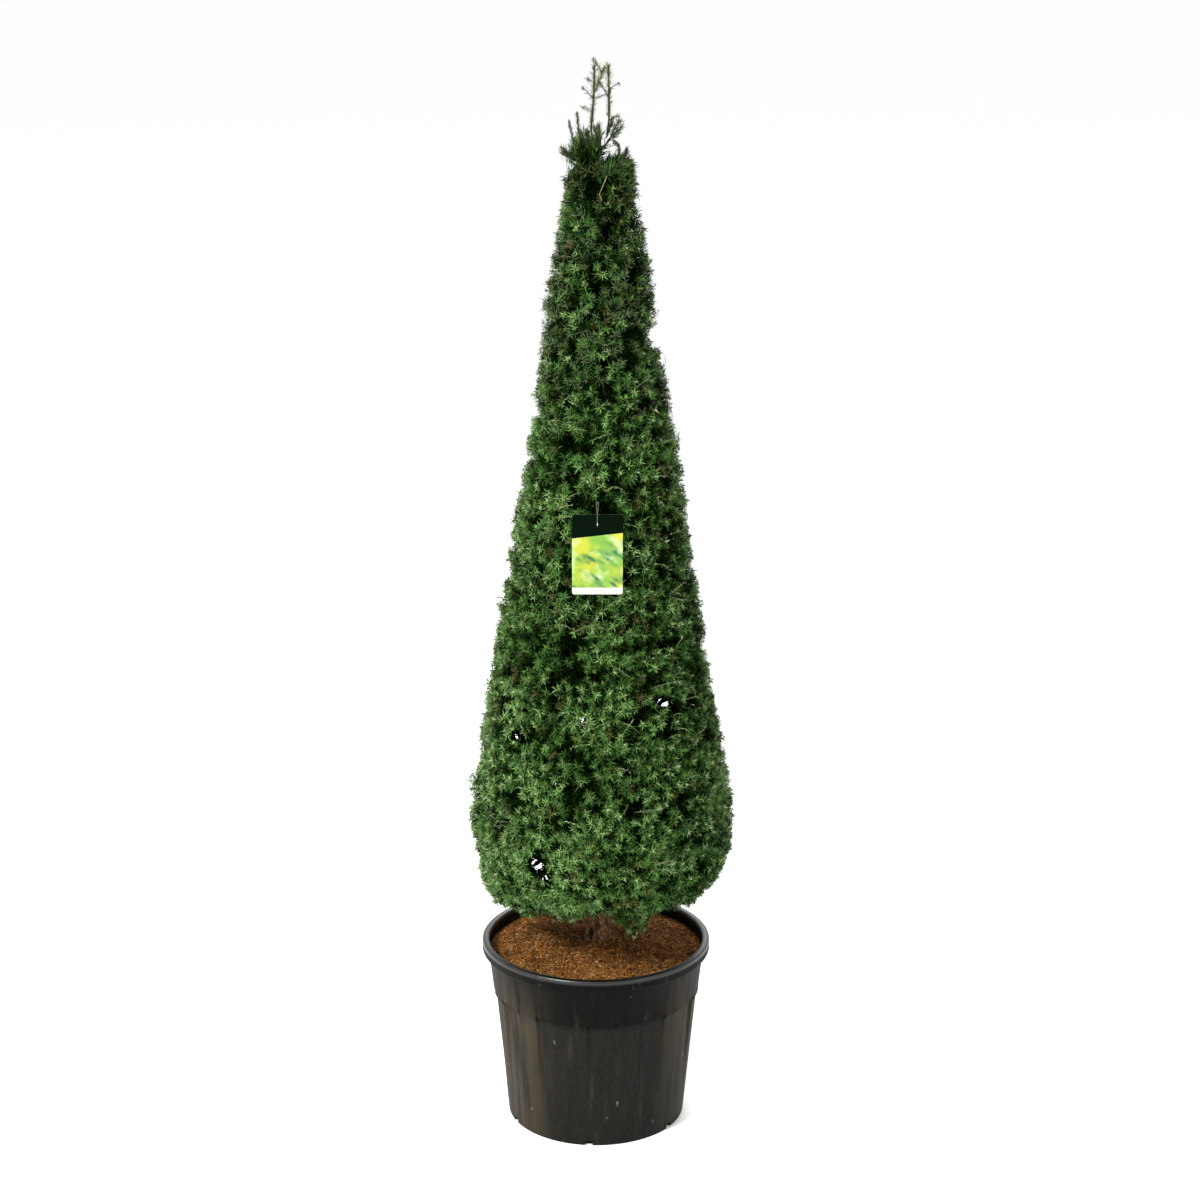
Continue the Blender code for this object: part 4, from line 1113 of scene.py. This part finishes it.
def shoot_tip(azimuth, height, rng):
    """A place on the clipped face or a little under it. Between the clumps the shoots stop shorter."""
    reach = float(clipped_radius(azimuth, height))
    flat = Vector((math.cos(azimuth) * reach, math.sin(azimuth) * reach, height))
    hollow = smooth(0.20, 0.50, noise.noise(flat * CLUMP_SCALE + Vector((7, 3, 1))))
    short = rng.uniform(*SHOOT_SHORTFALL) + min(CLUMP_DEPTH, 0.4 * reach) * hollow
    short -= 0.012 * noise.noise(flat * CLUMP_SCALE * 2)
    if rng.random() < SPARED_SHOOTS:
        short -= rng.uniform(*SPARED_SHOOT_REACH)
    away = reach - short
    return Vector((CROWN_X + math.cos(azimuth) * away, math.sin(azimuth) * away, height))


def add_twig(fork, end, rng):
    """A twig with a few coarse tufts of old needles in painted shade along it. Returns its middle."""
    bend = fork.lerp(end, 0.5) + Vector((0, 0, (end - fork).length * rng.uniform(-0.02, 0.12)))
    twigs.append((fork, bend, end, *TWIG_RADII))
    for share in TWIG_TUFTS:
        axis = leaning((end - fork).normalized(), 0.5, rng)
        place = on_line(fork, bend, end, share)
        if depth_of(place) > INNER_CLEARANCE:
            add_old_shade_tuft(place, axis, INNER_NEEDLES, 1, rng)
    return bend


def nearest(branches, end):
    return min(branches, key=lambda branch: (branch - end).length)


def grow_mass(space):
    rng = random.Random(f"mass {space.name}")
    branches = add_branches(space)
    for start, bend, end, _, _ in limbs[-len(branches):]:
        for share in BRANCH_TUFTS:
            axis = leaning((end - start).normalized(), 0.6, rng)
            place = on_line(start, bend, end, share)
            add_old_shade_tuft(place, axis, BRANCH_NEEDLES, BRANCH_NEEDLE_SIZE, rng)
    for side, share in face_rows(space, TWIG_SPACING, rng):
        height = between(space.floor, space.ceiling, share)
        azimuth = space.azimuth + side * space.half_angle
        radius = float(clipped_radius(azimuth, height))
        deep = min(TWIG_DEPTH, 0.5 * radius) * rng.uniform(0.8, 1.15)
        end = space.place(side, radius - deep, share)
        end.z = max(end.z, foot_under(end) + TWIG_OVER_FOOT)
        near_top = max(0, end.z - TIERS[-1][0]) / (CROWN_TOP - TIERS[-1][0])
        end.z -= TOP_ASCENT * near_top
        if space.at_top:
            end.z = min(end.z, peak_level(end.x, end.y) - TWIG_UNDER_TOP)
        fork = nearest(branches, end)
        bend = add_twig(fork, end, rng)
        for index in range(SHOOTS_PER_TWIG):
            turn = index * SPIRAL_TURN + rng.uniform(-0.4, 0.4)
            spread = SHOOT_SPREAD * math.sqrt((index + 0.5) / SHOOTS_PER_TWIG)
            tip_azimuth = azimuth + spread * math.cos(turn) / radius
            rise = spread * math.sin(turn) + SHOOT_LIFT + 1.6 * TOP_ASCENT * near_top
            tip = shoot_tip(tip_azimuth, end.z + rise, rng)
            tip.z = max(tip.z, foot_under(tip) + rng.uniform(0, 0.012))
            tip.z = min(tip.z, peak_level(tip.x, tip.y) - rng.uniform(0, 0.015))
            along = rng.uniform(0.55 - 0.25 * near_top, 1.0)
            add_shoot(on_line(fork, bend, end, along), tip, near_top, rng)
    return branches


UNDER_ROWS = (0.42, 0.56, 0.70, 0.83, 0.94)
UNDER_SHOOTS = 9
UNDER_SPREAD = 0.030
UNDER_TONES = ("dark", "mid", "fresh")
# The hanging shoots' tips face down, away from the light; their lighter tones are painted light
UNDER_TIP_TONES = ("mid", "mid", "fresh", "fresh", "bright", "pale")


def inner_places(space, rows, first_count, rng):
    """Azimuth and share of the radius of places over the mass's sector, with one more in each row."""
    for row, share in enumerate(rows):
        count = first_count + row
        for column in range(count):
            side = 2 * (column + 0.5 + rng.uniform(-0.3, 0.3)) / count - 1
            yield space.azimuth + side * space.half_angle, share


def spiral(azimuth, spread, count):
    """Offsets that lie evenly over a disc of this radius."""
    for index in range(count):
        yield outwards(azimuth + index * SPIRAL_TURN) * spread * math.sqrt((index + 0.5) / count)


def grow_underside(space, branches):
    """Twigs with hanging shoots under the lowest tier, which close the crown's foot round its bare middle."""
    rng = random.Random(f"under {space.name}")
    for azimuth, share in inner_places(space, UNDER_ROWS, 3, rng):
        end = outwards(azimuth) * float(crown_radius(CROWN_FOOT)) * share + Vector((CROWN_X, 0, 0))
        end.z = foot_under(end) + rng.uniform(0.028, 0.045)
        add_twig(nearest(branches, end), end, rng)
        for across in spiral(azimuth, UNDER_SPREAD, UNDER_SHOOTS):
            tip = end + across + outwards(azimuth) * 0.010
            tip.z = foot_under(tip) + abs(rng.gauss(0, 0.007))
            add_under_shoot(end, tip, azimuth, rng)


def add_under_shoot(root, tip, azimuth, rng):
    bend = root.lerp(tip, 0.5) + outwards(azimuth) * 0.006
    shoots.append((root, bend, tip, *SHOOT_RADII))
    length = (tip - root).length
    for step, count in enumerate(NEEDLES):
        share = max(0.2, 1 - step * TUFT_STEP / length)
        axis = leaning(outwards(azimuth, -0.8), 0.35, rng)
        shade = rng.choice(UNDER_TIP_TONES if step == 0 else UNDER_TONES)
        add_tuft(on_line(root, bend, tip, share), axis, count, NEEDLE_LENGTH, (15, 85), shade, rng)


PEAK_ROWS = (0.25, 0.55, 0.82)
PEAK_SHOOTS = 5
PEAK_SPREAD = 0.018


def grow_peak(space, branches):
    """Twigs with upright shoots inside the top tier, which close the crown's top."""
    rng = random.Random(f"peak {space.name}")
    for azimuth, share in inner_places(space, PEAK_ROWS, 2, rng):
        end = outwards(azimuth) * float(crown_radius(CROWN_TOP)) * share + Vector((PEAK_X, 0, 0))
        end.z = peak_level(end.x, end.y) - rng.uniform(0.034, 0.048)
        fork = nearest(branches, end)
        bend = add_twig(fork, end, rng)
        for across in spiral(azimuth, PEAK_SPREAD, PEAK_SHOOTS):
            tip = end + across
            tip.z = peak_level(tip.x, tip.y) - rng.uniform(0, 0.022)
            add_shoot(on_line(fork, bend, end, rng.uniform(0.6, 1)), tip, 1.0, rng)


SPURS = 110
SPUR_FOOT = 1.25
SPUR_NEEDLES = 12
LONGEST_SPUR_NEEDLE = 0.045


def grow_spurs():
    """Short spurs of old needles in painted shade round the upper trunk, closing the slim part of the crown.
    """
    rng = random.Random("spurs")
    for index in range(SPURS):
        height = between(SPUR_FOOT, TRUNK_FORK.z, index / SPURS)
        reach = 0.55 * float(crown_radius(height))
        axis = outwards(rng.uniform(0, math.tau), rng.uniform(-0.3, 0.8))
        place = trunk_point(height) + axis * 0.3 * reach
        length = min(0.7 * reach, LONGEST_SPUR_NEEDLE)
        add_tuft(place, axis, SPUR_NEEDLES, length, (20, 95), "deep", rng, INNER_NEEDLE_WIDTH)


ARCHING_SHOOTS = 230
ARCHING_HEIGHTS = (0.58, 1.55)
ARCHING_LENGTHS = (0.022, 0.052)
ARCHING_RADII = (0.0005, 0.0003)
ARCHING_STEP = 0.005
ARCHING_NEEDLE_LENGTH = 0.0060
ARCHING_NEEDLE_WIDTH = 0.0010
ARCHING_TONES = ("pale", "pale", "bright")


def grow_arching_shoots():
    """Pale young shoots that have grown since the last clipping and lie along the face in arcs."""
    rng = random.Random("arching shoots")
    for _ in range(ARCHING_SHOOTS):
        height = between(*ARCHING_HEIGHTS, rng.random() ** 1.15)
        azimuth = rng.uniform(0, math.tau)
        reach = float(clipped_radius(azimuth, height))
        length = rng.uniform(*ARCHING_LENGTHS)
        climb = rng.uniform(-0.5, 1.1) + (math.pi if rng.random() < 0.5 else 0)
        sideways = Vector((-math.sin(azimuth), math.cos(azimuth), 0)) * math.cos(climb)
        run = (sideways + Vector((0, 0, 1)) * math.sin(climb)) * length
        root = outwards(azimuth) * (reach - 0.014) + Vector((CROWN_X, 0, height))
        rise = Vector((0, 0, rng.uniform(0.004, 0.020)))
        bend = root + run * 0.55 + outwards(azimuth) * 0.022 + rise
        tip = root + run + outwards(azimuth) * rng.uniform(0.004, 0.012)
        tone = rng.choice(ARCHING_TONES)
        arching_shoots.append((root, bend, tip, *ARCHING_RADII))
        for step in range(round(length / ARCHING_STEP)):
            place = on_line(root, bend, tip, 1 - step * ARCHING_STEP / length)
            axis = leaning((tip - bend).normalized(), 0.2, rng)
            add_tuft(place, axis, 2, ARCHING_NEEDLE_LENGTH, (15, 40), tone, rng, ARCHING_NEEDLE_WIDTH)


def in_place(rows):
    """Rows of (start, bend, end, first radius, last radius) as arrays, without those that end in a gap."""
    starts, bends, ends = (np.array([row[i] for row in rows]) for i in range(3))
    radii = np.array([row[3:] for row in rows])
    kept = ~in_sight_gap(ends, 0.003) & (card_front(ends) < 0)
    return starts[kept], bends[kept], ends[kept], radii[kept]


def thinned_in_gaps(rows):
    """Stems without two in three of the thin ones that cross a gap."""
    lines = bent_lines(*([row[i] for row in rows] for i in range(3)), 9)
    crossing = in_sight_gap(lines.reshape(-1, 3)).reshape(-1, 9).any(axis=1)
    return [row for i, row in enumerate(rows) if row[3] > THICK_STEM or not crossing[i] or i % 3 == 0]


def limb_mesh(name, rows, rings, sides, roughening=0.0):
    """Tapering tubes joined as one mesh, their bark roughened by this share of the radius."""
    starts, bends, ends, radii = in_place(rows)
    share = np.linspace(0, 1, rings)
    thick = radii[:, :1] * (1 - share) + radii[:, 1:] * share
    lumps = np.random.default_rng(len(rows)).uniform(-1, 1, thick.shape)
    lines = bent_lines(starts, bends, ends, rings)
    return joined_mesh(name, *tubes(lines, thick * (1 + roughening * lumps), sides))


def card_front(points):
    """How far each point lies in front of the hanging card's back, or -1 where it isn't over the card."""
    low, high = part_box("label_card")
    slope = (high.y - low.y) / (high.z - low.z)
    back = low.y + (points[:, 2] - low.z) * slope + 0.001
    over = (points[:, 0] > low.x - CARD_BORDER) & (points[:, 0] < high.x + CARD_BORDER)
    over &= (points[:, 2] > low.z - CARD_BORDER) & (points[:, 2] < high.z + 2 * CARD_BORDER)
    return np.where(over, back - points[:, 1], -1)


def tuft_needles(rows, seed):
    """Four corners for each needle: a narrow kite folded along its middle, cut where the shears pass."""
    rng = np.random.default_rng(seed)
    rows = np.array(rows, float)
    place, axis = rows[:, None, :3], unit(rows[:, None, 3:6])
    length, width, low, high, count, phase = (rows[:, i, None] for i in range(6, 12))
    index = np.arange(int(count.max()))[None]
    spread = (len(rows), index.size)
    lean = low + (high - low) * ((index + 0.5) / count) ** 0.8 + rng.normal(0, 7, spread)
    lean = np.radians(np.clip(lean, 4, 98))[..., None]
    turn = (phase + index * NEEDLE_TURN + rng.normal(0, 0.15, spread))[..., None]
    upright = np.where(np.abs(axis[..., 2:]) < 0.9, [0.0, 0.0, 1.0], [1.0, 0.0, 0.0])
    side = unit(np.cross(axis, upright))
    away = side * np.cos(turn) + np.cross(axis, side) * np.sin(turn)
    along = axis * np.cos(lean) + away * np.sin(lean)
    across = np.cross(axis, away)
    face = np.cross(across, along)
    size = (length * rng.uniform(0.78, 1.15, spread))[..., None]
    wide = (width * rng.uniform(0.8, 1.2, spread))[..., None]
    root = place + axis * rng.uniform(-0.003, 0.003, lean.shape) + along * 0.0004
    spared = np.minimum(rng.exponential(SPARED_NEEDLE_REACH, (len(rows), 1)), MOST_SPARED) * np.ones(spread)
    kept = (index < count) & np.ones(spread, bool)
    root, along, across, face, size, wide = (part[kept] for part in (root, along, across, face, size, wide))
    allowance = OVERHANG + spared[kept] + rng.uniform(-0.002, 0.002, len(root))
    share = clipping(root, root + along * size, allowance)
    size = size * share[:, None]
    tip = root + along * size
    kept = (share > 0.4) & (card_front(tip) < 0)
    for part in (root, (root + tip) / 2, tip):
        kept &= ~in_sight_gap(part)
    root, along, across, face, size, wide = (part[kept] for part in (root, along, across, face, size, wide))
    middle = root + along * size * 0.42 + face * wide * 0.28
    tip = root + along * size - face * size * rng.uniform(-0.04, 0.10, (len(root), 1))
    return np.stack([root, middle + across * wide / 2, tip, middle - across * wide / 2], axis=1)


def clipping(root, tip, allowance):
    """The share of each needle that the shears leave."""
    def past(points):
        x, y = points[:, 0] - CROWN_X, points[:, 1]
        reach = clipped_radius(np.arctan2(y, x), np.minimum(points[:, 2], CROWN_TOP))
        below = foot_level(points[:, 0], y) - points[:, 2]
        return np.maximum(np.hypot(x, y) - reach, below) - allowance
    inner, outer = past(root), past(tip)
    return np.where(outer > 0, np.clip(-inner / np.maximum(outer - inner, 1e-6), 0, 1), 1.0)


def needle_mesh(name, corners):
    """Needles as one mesh, each of two triangles."""
    return joined_mesh(name, corners.reshape(-1, 3), repeated([(0, 1, 2), (0, 2, 3)], len(corners)))


def needle_coat(colour, value, specular):
    coat, _, shader = new_coat(f"needles_{colour}", 0.5, specular)
    shader.inputs["Base Color"].default_value = (*value, 1)
    return coat


arching_shoots = []
for space in spaces:
    ends = grow_mass(space)
    if space.tier == 0:
        grow_underside(space, ends)
    elif space.at_top:
        grow_peak(space, ends)
grow_spurs()
grow_arching_shoots()
# Only shoots whose bend lies inside the clipped face, or barely outside it, stay
shoots = [row for row in shoots if depth_of(row[1]) > -0.003]

mass_nodes = [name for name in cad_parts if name.startswith("foliage")]
bough_nodes = [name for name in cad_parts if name.startswith("bough")]
BARKS = {
    "bough_bark": ((0.100, 0.082, 0.050), (0.032, 0.024, 0.014), (0.200, 0.160, 0.090)),
    "twig_bark": ((0.060, 0.042, 0.022), (0.030, 0.020, 0.011), (0.080, 0.062, 0.034)),
    "young_shoot_bark": ((0.200, 0.270, 0.100), (0.170, 0.220, 0.080), (0.260, 0.330, 0.150)),
}
bough_bark, twig_bark, young_bark = (bark_coat(name, *tones) for name, tones in BARKS.items())
bough_mesh = limb_mesh("boughs", thinned_in_gaps(limbs), LIMB_RINGS, 10, 0.07)
twig_mesh = limb_mesh("twigs", thinned_in_gaps(twigs), 5, 5, 0.06)
shoot_mesh = limb_mesh("shoots", thinned_in_gaps(shoots), 3, 3)
arching_mesh = limb_mesh("arching_shoots", arching_shoots, 6, 4)
add_piece("boughs", bough_mesh, bough_bark, bough_nodes)
add_piece("twigs", twig_mesh, twig_bark, mass_nodes)
add_piece("shoots", shoot_mesh, twig_bark, mass_nodes)
add_piece("arching_shoots", arching_mesh, young_bark, mass_nodes)
for seed, (colour, rows) in enumerate(tufts.items()):
    rows.sort(key=lambda row: row[2])
    corners = tuft_needles(rows, seed)
    coat = needle_coat(colour, NEEDLE_COLOURS[colour], 0.0 if colour in ("deep", "dark") else 0.2)
    layers = math.ceil(2 * len(corners) / MOST_TRIANGLES)
    for layer, layer_corners in enumerate(np.array_split(corners, layers)):
        name = f"needles_{colour}_{layer + 1}"
        add_piece(name, needle_mesh(name, layer_corners), coat, mass_nodes)


# Leading shoots
# Two slender olive shoots that the shears have spared, with short side shoots and sparse soft needles, and a
# few shorter shoots that stand up round their foot. The two grow from the trunk's fork.

LEADER_LINES = (
    ((0.0062, 0, 1.9303), (-0.0050, 0, 1.975), (-0.0084, 0, 1.995), (-0.0036, 0, 2.053), (-0.0019, 0, 2.112)),
    ((0.0098, 0, 1.9303), (0.0215, 0, 1.985), (0.0246, 0, 2.013), (0.0250, 0, 2.068), (0.0232, 0, 2.113)),
)
LEADER_NODES = ("leader_left", "leader_right")
LEADER_RADII = (0.0022, 0.0014)
SIDE_RADII = (0.0009, 0.0006)
TOP_RADII = (0.0014, 0.0008)
NEEDLE_STEP = 0.0036
YOUNG_NEEDLE_WIDTH = 0.0017
SIDE_RISE = 0.003
# Needles on a leader's two upper stretches, as (step, length, number in a tuft, leans, tones)
STRETCHES = {
    3: (0.0034, 0.0120, 7, (12, 78), ("green_young", "olive_young", "olive_young", "yellow_young")),
    2: (NEEDLE_STEP, 0.0110, 7, (12, 62), ("olive_young", "green_young", "green_young")),
}
# Start and end of each side shoot, and the needles in each of its tufts
SIDE_SHOOTS = (
    (
        ((-0.0038, 0, 2.050), (-0.0215, 0.003, 2.070), 2),
        ((-0.0062, 0, 2.026), (-0.0212, -0.003, 2.036), 2),
        ((-0.0030, 0, 2.060), (0.0150, -0.004, 2.106), 12),
        ((0.0120, -0.003, 2.098), (-0.0024, 0.001, 2.1215), 5),
        ((-0.0030, 0, 2.078), (-0.0130, -0.002, 2.087), 5),
    ),
    (
        ((0.0249, 0, 2.068), (0.0400, 0.002, 2.078), 1),
        ((0.0248, 0, 2.050), (0.0100, -0.003, 2.078), 3),
        ((0.0248, 0, 2.060), (0.0050, -0.002, 2.055), 2),
        ((0.0246, 0, 2.012), (0.0400, 0.004, 2.020), 4),
    ),
)
# Start, bend and end of each short shoot that stands up round the leaders, and the length of its needles
TOP_SHOOTS = (
    ((-0.022, 0.000, 1.950), (-0.032, 0.000, 1.985), (-0.0335, 0.000, 2.022), 0.008),
    ((-0.032, 0.004, 1.950), (-0.044, 0.006, 1.980), (-0.0490, 0.008, 2.005), 0.008),
    ((-0.020, -0.006, 1.935), (-0.045, -0.010, 1.945), (-0.0620, -0.012, 1.964), 0.015),
    ((-0.014, 0.002, 1.930), (-0.040, 0.002, 1.936), (-0.0600, 0.000, 1.950), 0.014),
    ((-0.004, -0.012, 1.935), (-0.012, -0.022, 1.965), (-0.0160, -0.026, 1.990), 0.016),
    ((0.004, -0.010, 1.945), (0.003, -0.020, 1.970), (0.0000, -0.024, 1.998), 0.015),
    ((0.018, 0.000, 1.965), (0.030, -0.004, 1.985), (0.0420, -0.006, 2.008), 0.015),
    ((0.022, 0.000, 1.975), (0.032, 0.002, 1.985), (0.0470, 0.004, 1.998), 0.014),
    ((0.020, 0.000, 1.980), (0.026, 0.000, 1.995), (0.0300, -0.002, 2.012), 0.013),
    ((0.030, -0.004, 1.976), (0.045, -0.008, 1.982), (0.0460, -0.010, 1.938), 0.010),
    ((0.003, -0.012, 1.952), (0.018, -0.016, 1.972), (0.0360, -0.012, 1.984), 0.010),
    ((0.040, 0.004, 1.925), (0.052, 0.006, 1.940), (0.0600, 0.006, 1.958), 0.015),
    ((0.000, 0.020, 1.940), (0.004, 0.032, 1.965), (0.0060, 0.038, 1.995), 0.014),
)
# A dead straw-coloured twig that stands in the dark hollow under the top
DEAD_TWIG = (
    ((0.0215, -0.064, 1.919), (0.0150, -0.068, 1.903), (0.0070, -0.064, 1.884), 0.0008, 0.0006),
    ((0.0070, -0.064, 1.886), (0.0085, -0.066, 1.878), (0.0120, -0.066, 1.873), 0.0006, 0.0005),
)
LEADER_BARK = ((0.045, 0.050, 0.018), (0.026, 0.024, 0.010), (0.085, 0.085, 0.034))
STRAW_BARK = ((0.360, 0.330, 0.170), (0.200, 0.170, 0.080), (0.420, 0.400, 0.240))
LEADER_COLOURS = {
    "green_young": (0.0300, 0.0560, 0.0110),
    "olive_young": (0.0700, 0.0900, 0.0200),
    "yellow_young": (0.2100, 0.2200, 0.0600),
}
tufts = {colour: [] for colour in LEADER_COLOURS}


def needled(start, bend, end, step, length, count, spread, tones, rng):
    """Tufts along a shoot from its tip down, in tones picked by chance."""
    reach = (end - start).length
    for index in range(int(reach / step)):
        share = 1 - index * step / reach
        axis = leaning((end - bend).normalized(), 0.15, rng)
        place = on_line(start, bend, end, share)
        add_tuft(place, axis, count, length, spread, rng.choice(tones), rng, YOUNG_NEEDLE_WIDTH)


def needle_piece(name, colour, nodes):
    """The young needles of one colour, as one piece."""
    mesh = needle_mesh(name, tuft_needles(tufts[colour], 1))
    add_piece(name, mesh, needle_coat(colour, LEADER_COLOURS[colour], 0.2), nodes)


leader_rng = random.Random("leaders")
leader_coat = bark_coat("leader_bark", *LEADER_BARK)
for name, line, side_shoots in zip(LEADER_NODES, LEADER_LINES, SIDE_SHOOTS):
    stems = []
    points = [Vector(point) for point in line]
    for index, (start, end) in enumerate(zip(points, points[1:])):
        middle = start.lerp(end, 0.5)
        first, last = (between(*LEADER_RADII, (index + step) / 4) for step in (0, 1))
        stems.append((start, middle, end, first, last))
        if index in STRETCHES:
            needled(start, middle, end, *STRETCHES[index], leader_rng)
    for start, end, count in side_shoots:
        start, end = Vector(start), Vector(end)
        bend = start.lerp(end, 0.5) + Vector((0, 0, SIDE_RISE))
        stems.append((start, bend, end, *SIDE_RADII))
        tones = ("olive_young", "yellow_young") if count > 3 else ("green_young", "olive_young")
        needled(start, bend, end, NEEDLE_STEP, 0.0105, count, (20, 75), tones, leader_rng)
        add_tuft(end, (end - bend).normalized(), 14, 0.0055, (10, 85), "green_young", leader_rng, 0.0015)
    add_piece(f"{name}_stems", limb_mesh(name, stems, 12, 8, 0.12), leader_coat, [name])
stems = []
for start, bend, end, length in TOP_SHOOTS:
    start, bend, end = Vector(start), Vector(bend), Vector(end)
    stems.append((start, bend, end, *TOP_RADII))
    tones = ("green_young", "green_young", "olive_young")
    needled(start, bend, end, NEEDLE_STEP, length, 9, (12, 52), tones, leader_rng)
top_mesh = limb_mesh("top_shoots", stems, 8, 6, 0.1)
add_piece("top_shoots", top_mesh, leader_coat, list(LEADER_NODES))
for colour in LEADER_COLOURS:
    needle_piece(f"leader_needles_{colour}", colour, list(LEADER_NODES))
straw = bark_coat("dead_twig", *STRAW_BARK)
add_piece("dead_twig", limb_mesh("dead_twig", DEAD_TWIG, 8, 6, 0.1), straw)


# Hanging card
# A stiff printed plastic card with a punched hole, hung by a loop of white cord from a twig that comes out
# through the foliage. Its print is a plain design: a dark band over a green-to-yellow field of soft leaves,
# and a white foot.

CARD_LEFT = -0.0441
CARD_WIDTH = 0.095
CARD_FOOT = 1.1535
CARD_TALL = 0.1492
HOLE_RISE = 0.131
BAND_FOOT = 0.70
BAND_SLANT = -0.07
PRINT_FOOT = 0.085
FIELD_GREEN = (0.150, 0.300, 0.050)
FIELD_YELLOWS = ((0.330, 0.370, 0.040), (0.430, 0.400, 0.045))
HAZE_GREEN = (0.440, 0.520, 0.260)
LEAF_GREEN = (0.030, 0.130, 0.050)
BAND_GREEN = (0.0008, 0.0035, 0.0012)
FOOT_WHITE = (0.460, 0.480, 0.410)
BACK_WHITE = (0.480, 0.485, 0.460)
CORD_WHITE = (0.70, 0.72, 0.66)
CORD_DARK_GREEN = (0.11, 0.13, 0.09)


def card_coat():
    """The print goes by the card's own place. Its back is plain white."""
    coat, tree, shader = new_coat("printed_card", 0.45, 0.02)
    place = own_place(tree)
    axes = node(tree, "ShaderNodeSeparateXYZ", {"Vector": place}).outputs
    across = ranged(tree, axes["X"], CARD_LEFT, CARD_LEFT + CARD_WIDTH)
    up = ranged(tree, axes["Z"], CARD_FOOT, CARD_FOOT + CARD_TALL)
    sunny = mixed(tree, across, *FIELD_YELLOWS)
    field = mixed(tree, mottled(tree, place, 21.0, 0.36, 0.64, 3.0), FIELD_GREEN, sunny)
    hazy = mixed(tree, mottled(tree, place, 33.0, 0.50, 0.72, 3.0), field, HAZE_GREEN)
    turned = node(tree, "ShaderNodeMapping", {"Vector": place, "Rotation": (0, 0.95, 0)}).outputs["Vector"]
    cells = {"Vector": stretched(tree, (105, 0, 34), turned), "Scale": 1.0, "Randomness": 0.9}
    bent = node(tree, "ShaderNodeTexVoronoi", cells, feature="SMOOTH_F1")
    leaf = ranged(tree, bent.outputs["Distance"], 0.50, 0.22)
    thinned = reckoned(tree, "MULTIPLY", leaf, mottled(tree, place, 26.0, 0.42, 0.62, 2.0))
    picture = mixed(tree, thinned, hazy, LEAF_GREEN)
    edge = reckoned(tree, "ADD", up, reckoned(tree, "MULTIPLY", across, BAND_SLANT))
    band = reckoned(tree, "GREATER_THAN", edge, BAND_FOOT)
    banded = mixed(tree, band, picture, BAND_GREEN)
    printed = mixed(tree, reckoned(tree, "LESS_THAN", up, PRINT_FOOT), banded, FOOT_WHITE)
    facing = node(tree, "ShaderNodeNewGeometry").outputs["Normal"]
    front = node(tree, "ShaderNodeSeparateXYZ", {"Vector": facing}).outputs["Y"]
    shown = reckoned(tree, "LESS_THAN", front, -0.5)
    tree.links.new(mixed(tree, shown, BACK_WHITE, printed), shader.inputs["Base Color"])
    return coat


def dress(name, coat):
    """Gives one of the solids that stays in view its material."""
    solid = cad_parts[name]
    solid.data.materials.clear()
    solid.data.materials.append(coat)


def cord_coat():
    """White cord, a darker grey-green above the card's hole."""
    coat, tree, shader = new_coat("white_cord", 0.45, 0.2)
    height = node(tree, "ShaderNodeSeparateXYZ", {"Vector": own_place(tree)}).outputs["Z"]
    above_hole = ranged(tree, height, CARD_FOOT + HOLE_RISE, CARD_FOOT + HOLE_RISE + 0.004)
    tree.links.new(mixed(tree, above_hole, CORD_WHITE, CORD_DARK_GREEN), shader.inputs["Base Color"])
    return coat


dress("label_card", card_coat())
dress("label_tie", cord_coat())
dress("label_twig", bough_bark)


# Floor, light and camera
# A plain white studio floor under soft light that comes mostly from the upper left, and the photograph's
# viewpoint. The floor is wide enough that its edge isn't seen.

FLOOR_RADIUS = 60
FLOOR_WHITE = (0.985, 0.985, 0.985)
# Each light's place, the point that it is aimed at, its width and its power
LIGHTS = {
    "key": ((-3.0, -3.4, 4.4), (0, 0, 1.0), 1.2, 420),
    "fill": ((3.6, -3.0, 2.6), (0, 0, 1.0), 2.5, 30),
    "back": ((0.4, 3.4, 4.0), (0, 0, 0.8), 2.4, 150),
}
CAMERA_PITCH = math.radians(16.22)
CAMERA_LENS = 78


def add_light(name, place, aim, size, power):
    lamp = bpy.data.lights.new(name, "AREA")
    lamp.shape = "DISK"
    lamp.size = size
    lamp.energy = power
    holder = placed(name, lamp)
    holder.location = place
    holder.rotation_euler = (Vector(aim) - Vector(place)).to_track_quat("-Z", "Y").to_euler()


floor_bm = bmesh.new()
bmesh.ops.create_circle(floor_bm, cap_ends=True, segments=96, radius=FLOOR_RADIUS)
floor_mesh = mesh_of("studio_floor", floor_bm)
floor_coat, _, floor_shader = new_coat("studio_white", 0.9, 0.1)
floor_shader.inputs["Base Color"].default_value = (*FLOOR_WHITE, 1)
floor_mesh.materials.append(floor_coat)
studio_floor = placed("studio_floor", floor_mesh)

world = bpy.data.worlds.new("studio")
world.use_nodes = True
world.node_tree.nodes["Background"].inputs["Color"].default_value = (1, 1, 1, 1)
world.node_tree.nodes["Background"].inputs["Strength"].default_value = 1.0
bpy.context.scene.world = world
for name, settings in LIGHTS.items():
    add_light(name, *settings)

camera = bpy.data.cameras.new("camera")
camera.lens = CAMERA_LENS
camera.sensor_width = 36
camera.clip_end = 200
camera_holder = placed("camera", camera)
camera_holder.location = VIEWPOINT
camera_holder.rotation_euler = (math.pi / 2 - CAMERA_PITCH, 0, 0)
bpy.context.scene.camera = camera_holder
bpy.context.scene.view_settings.view_transform = "Standard"
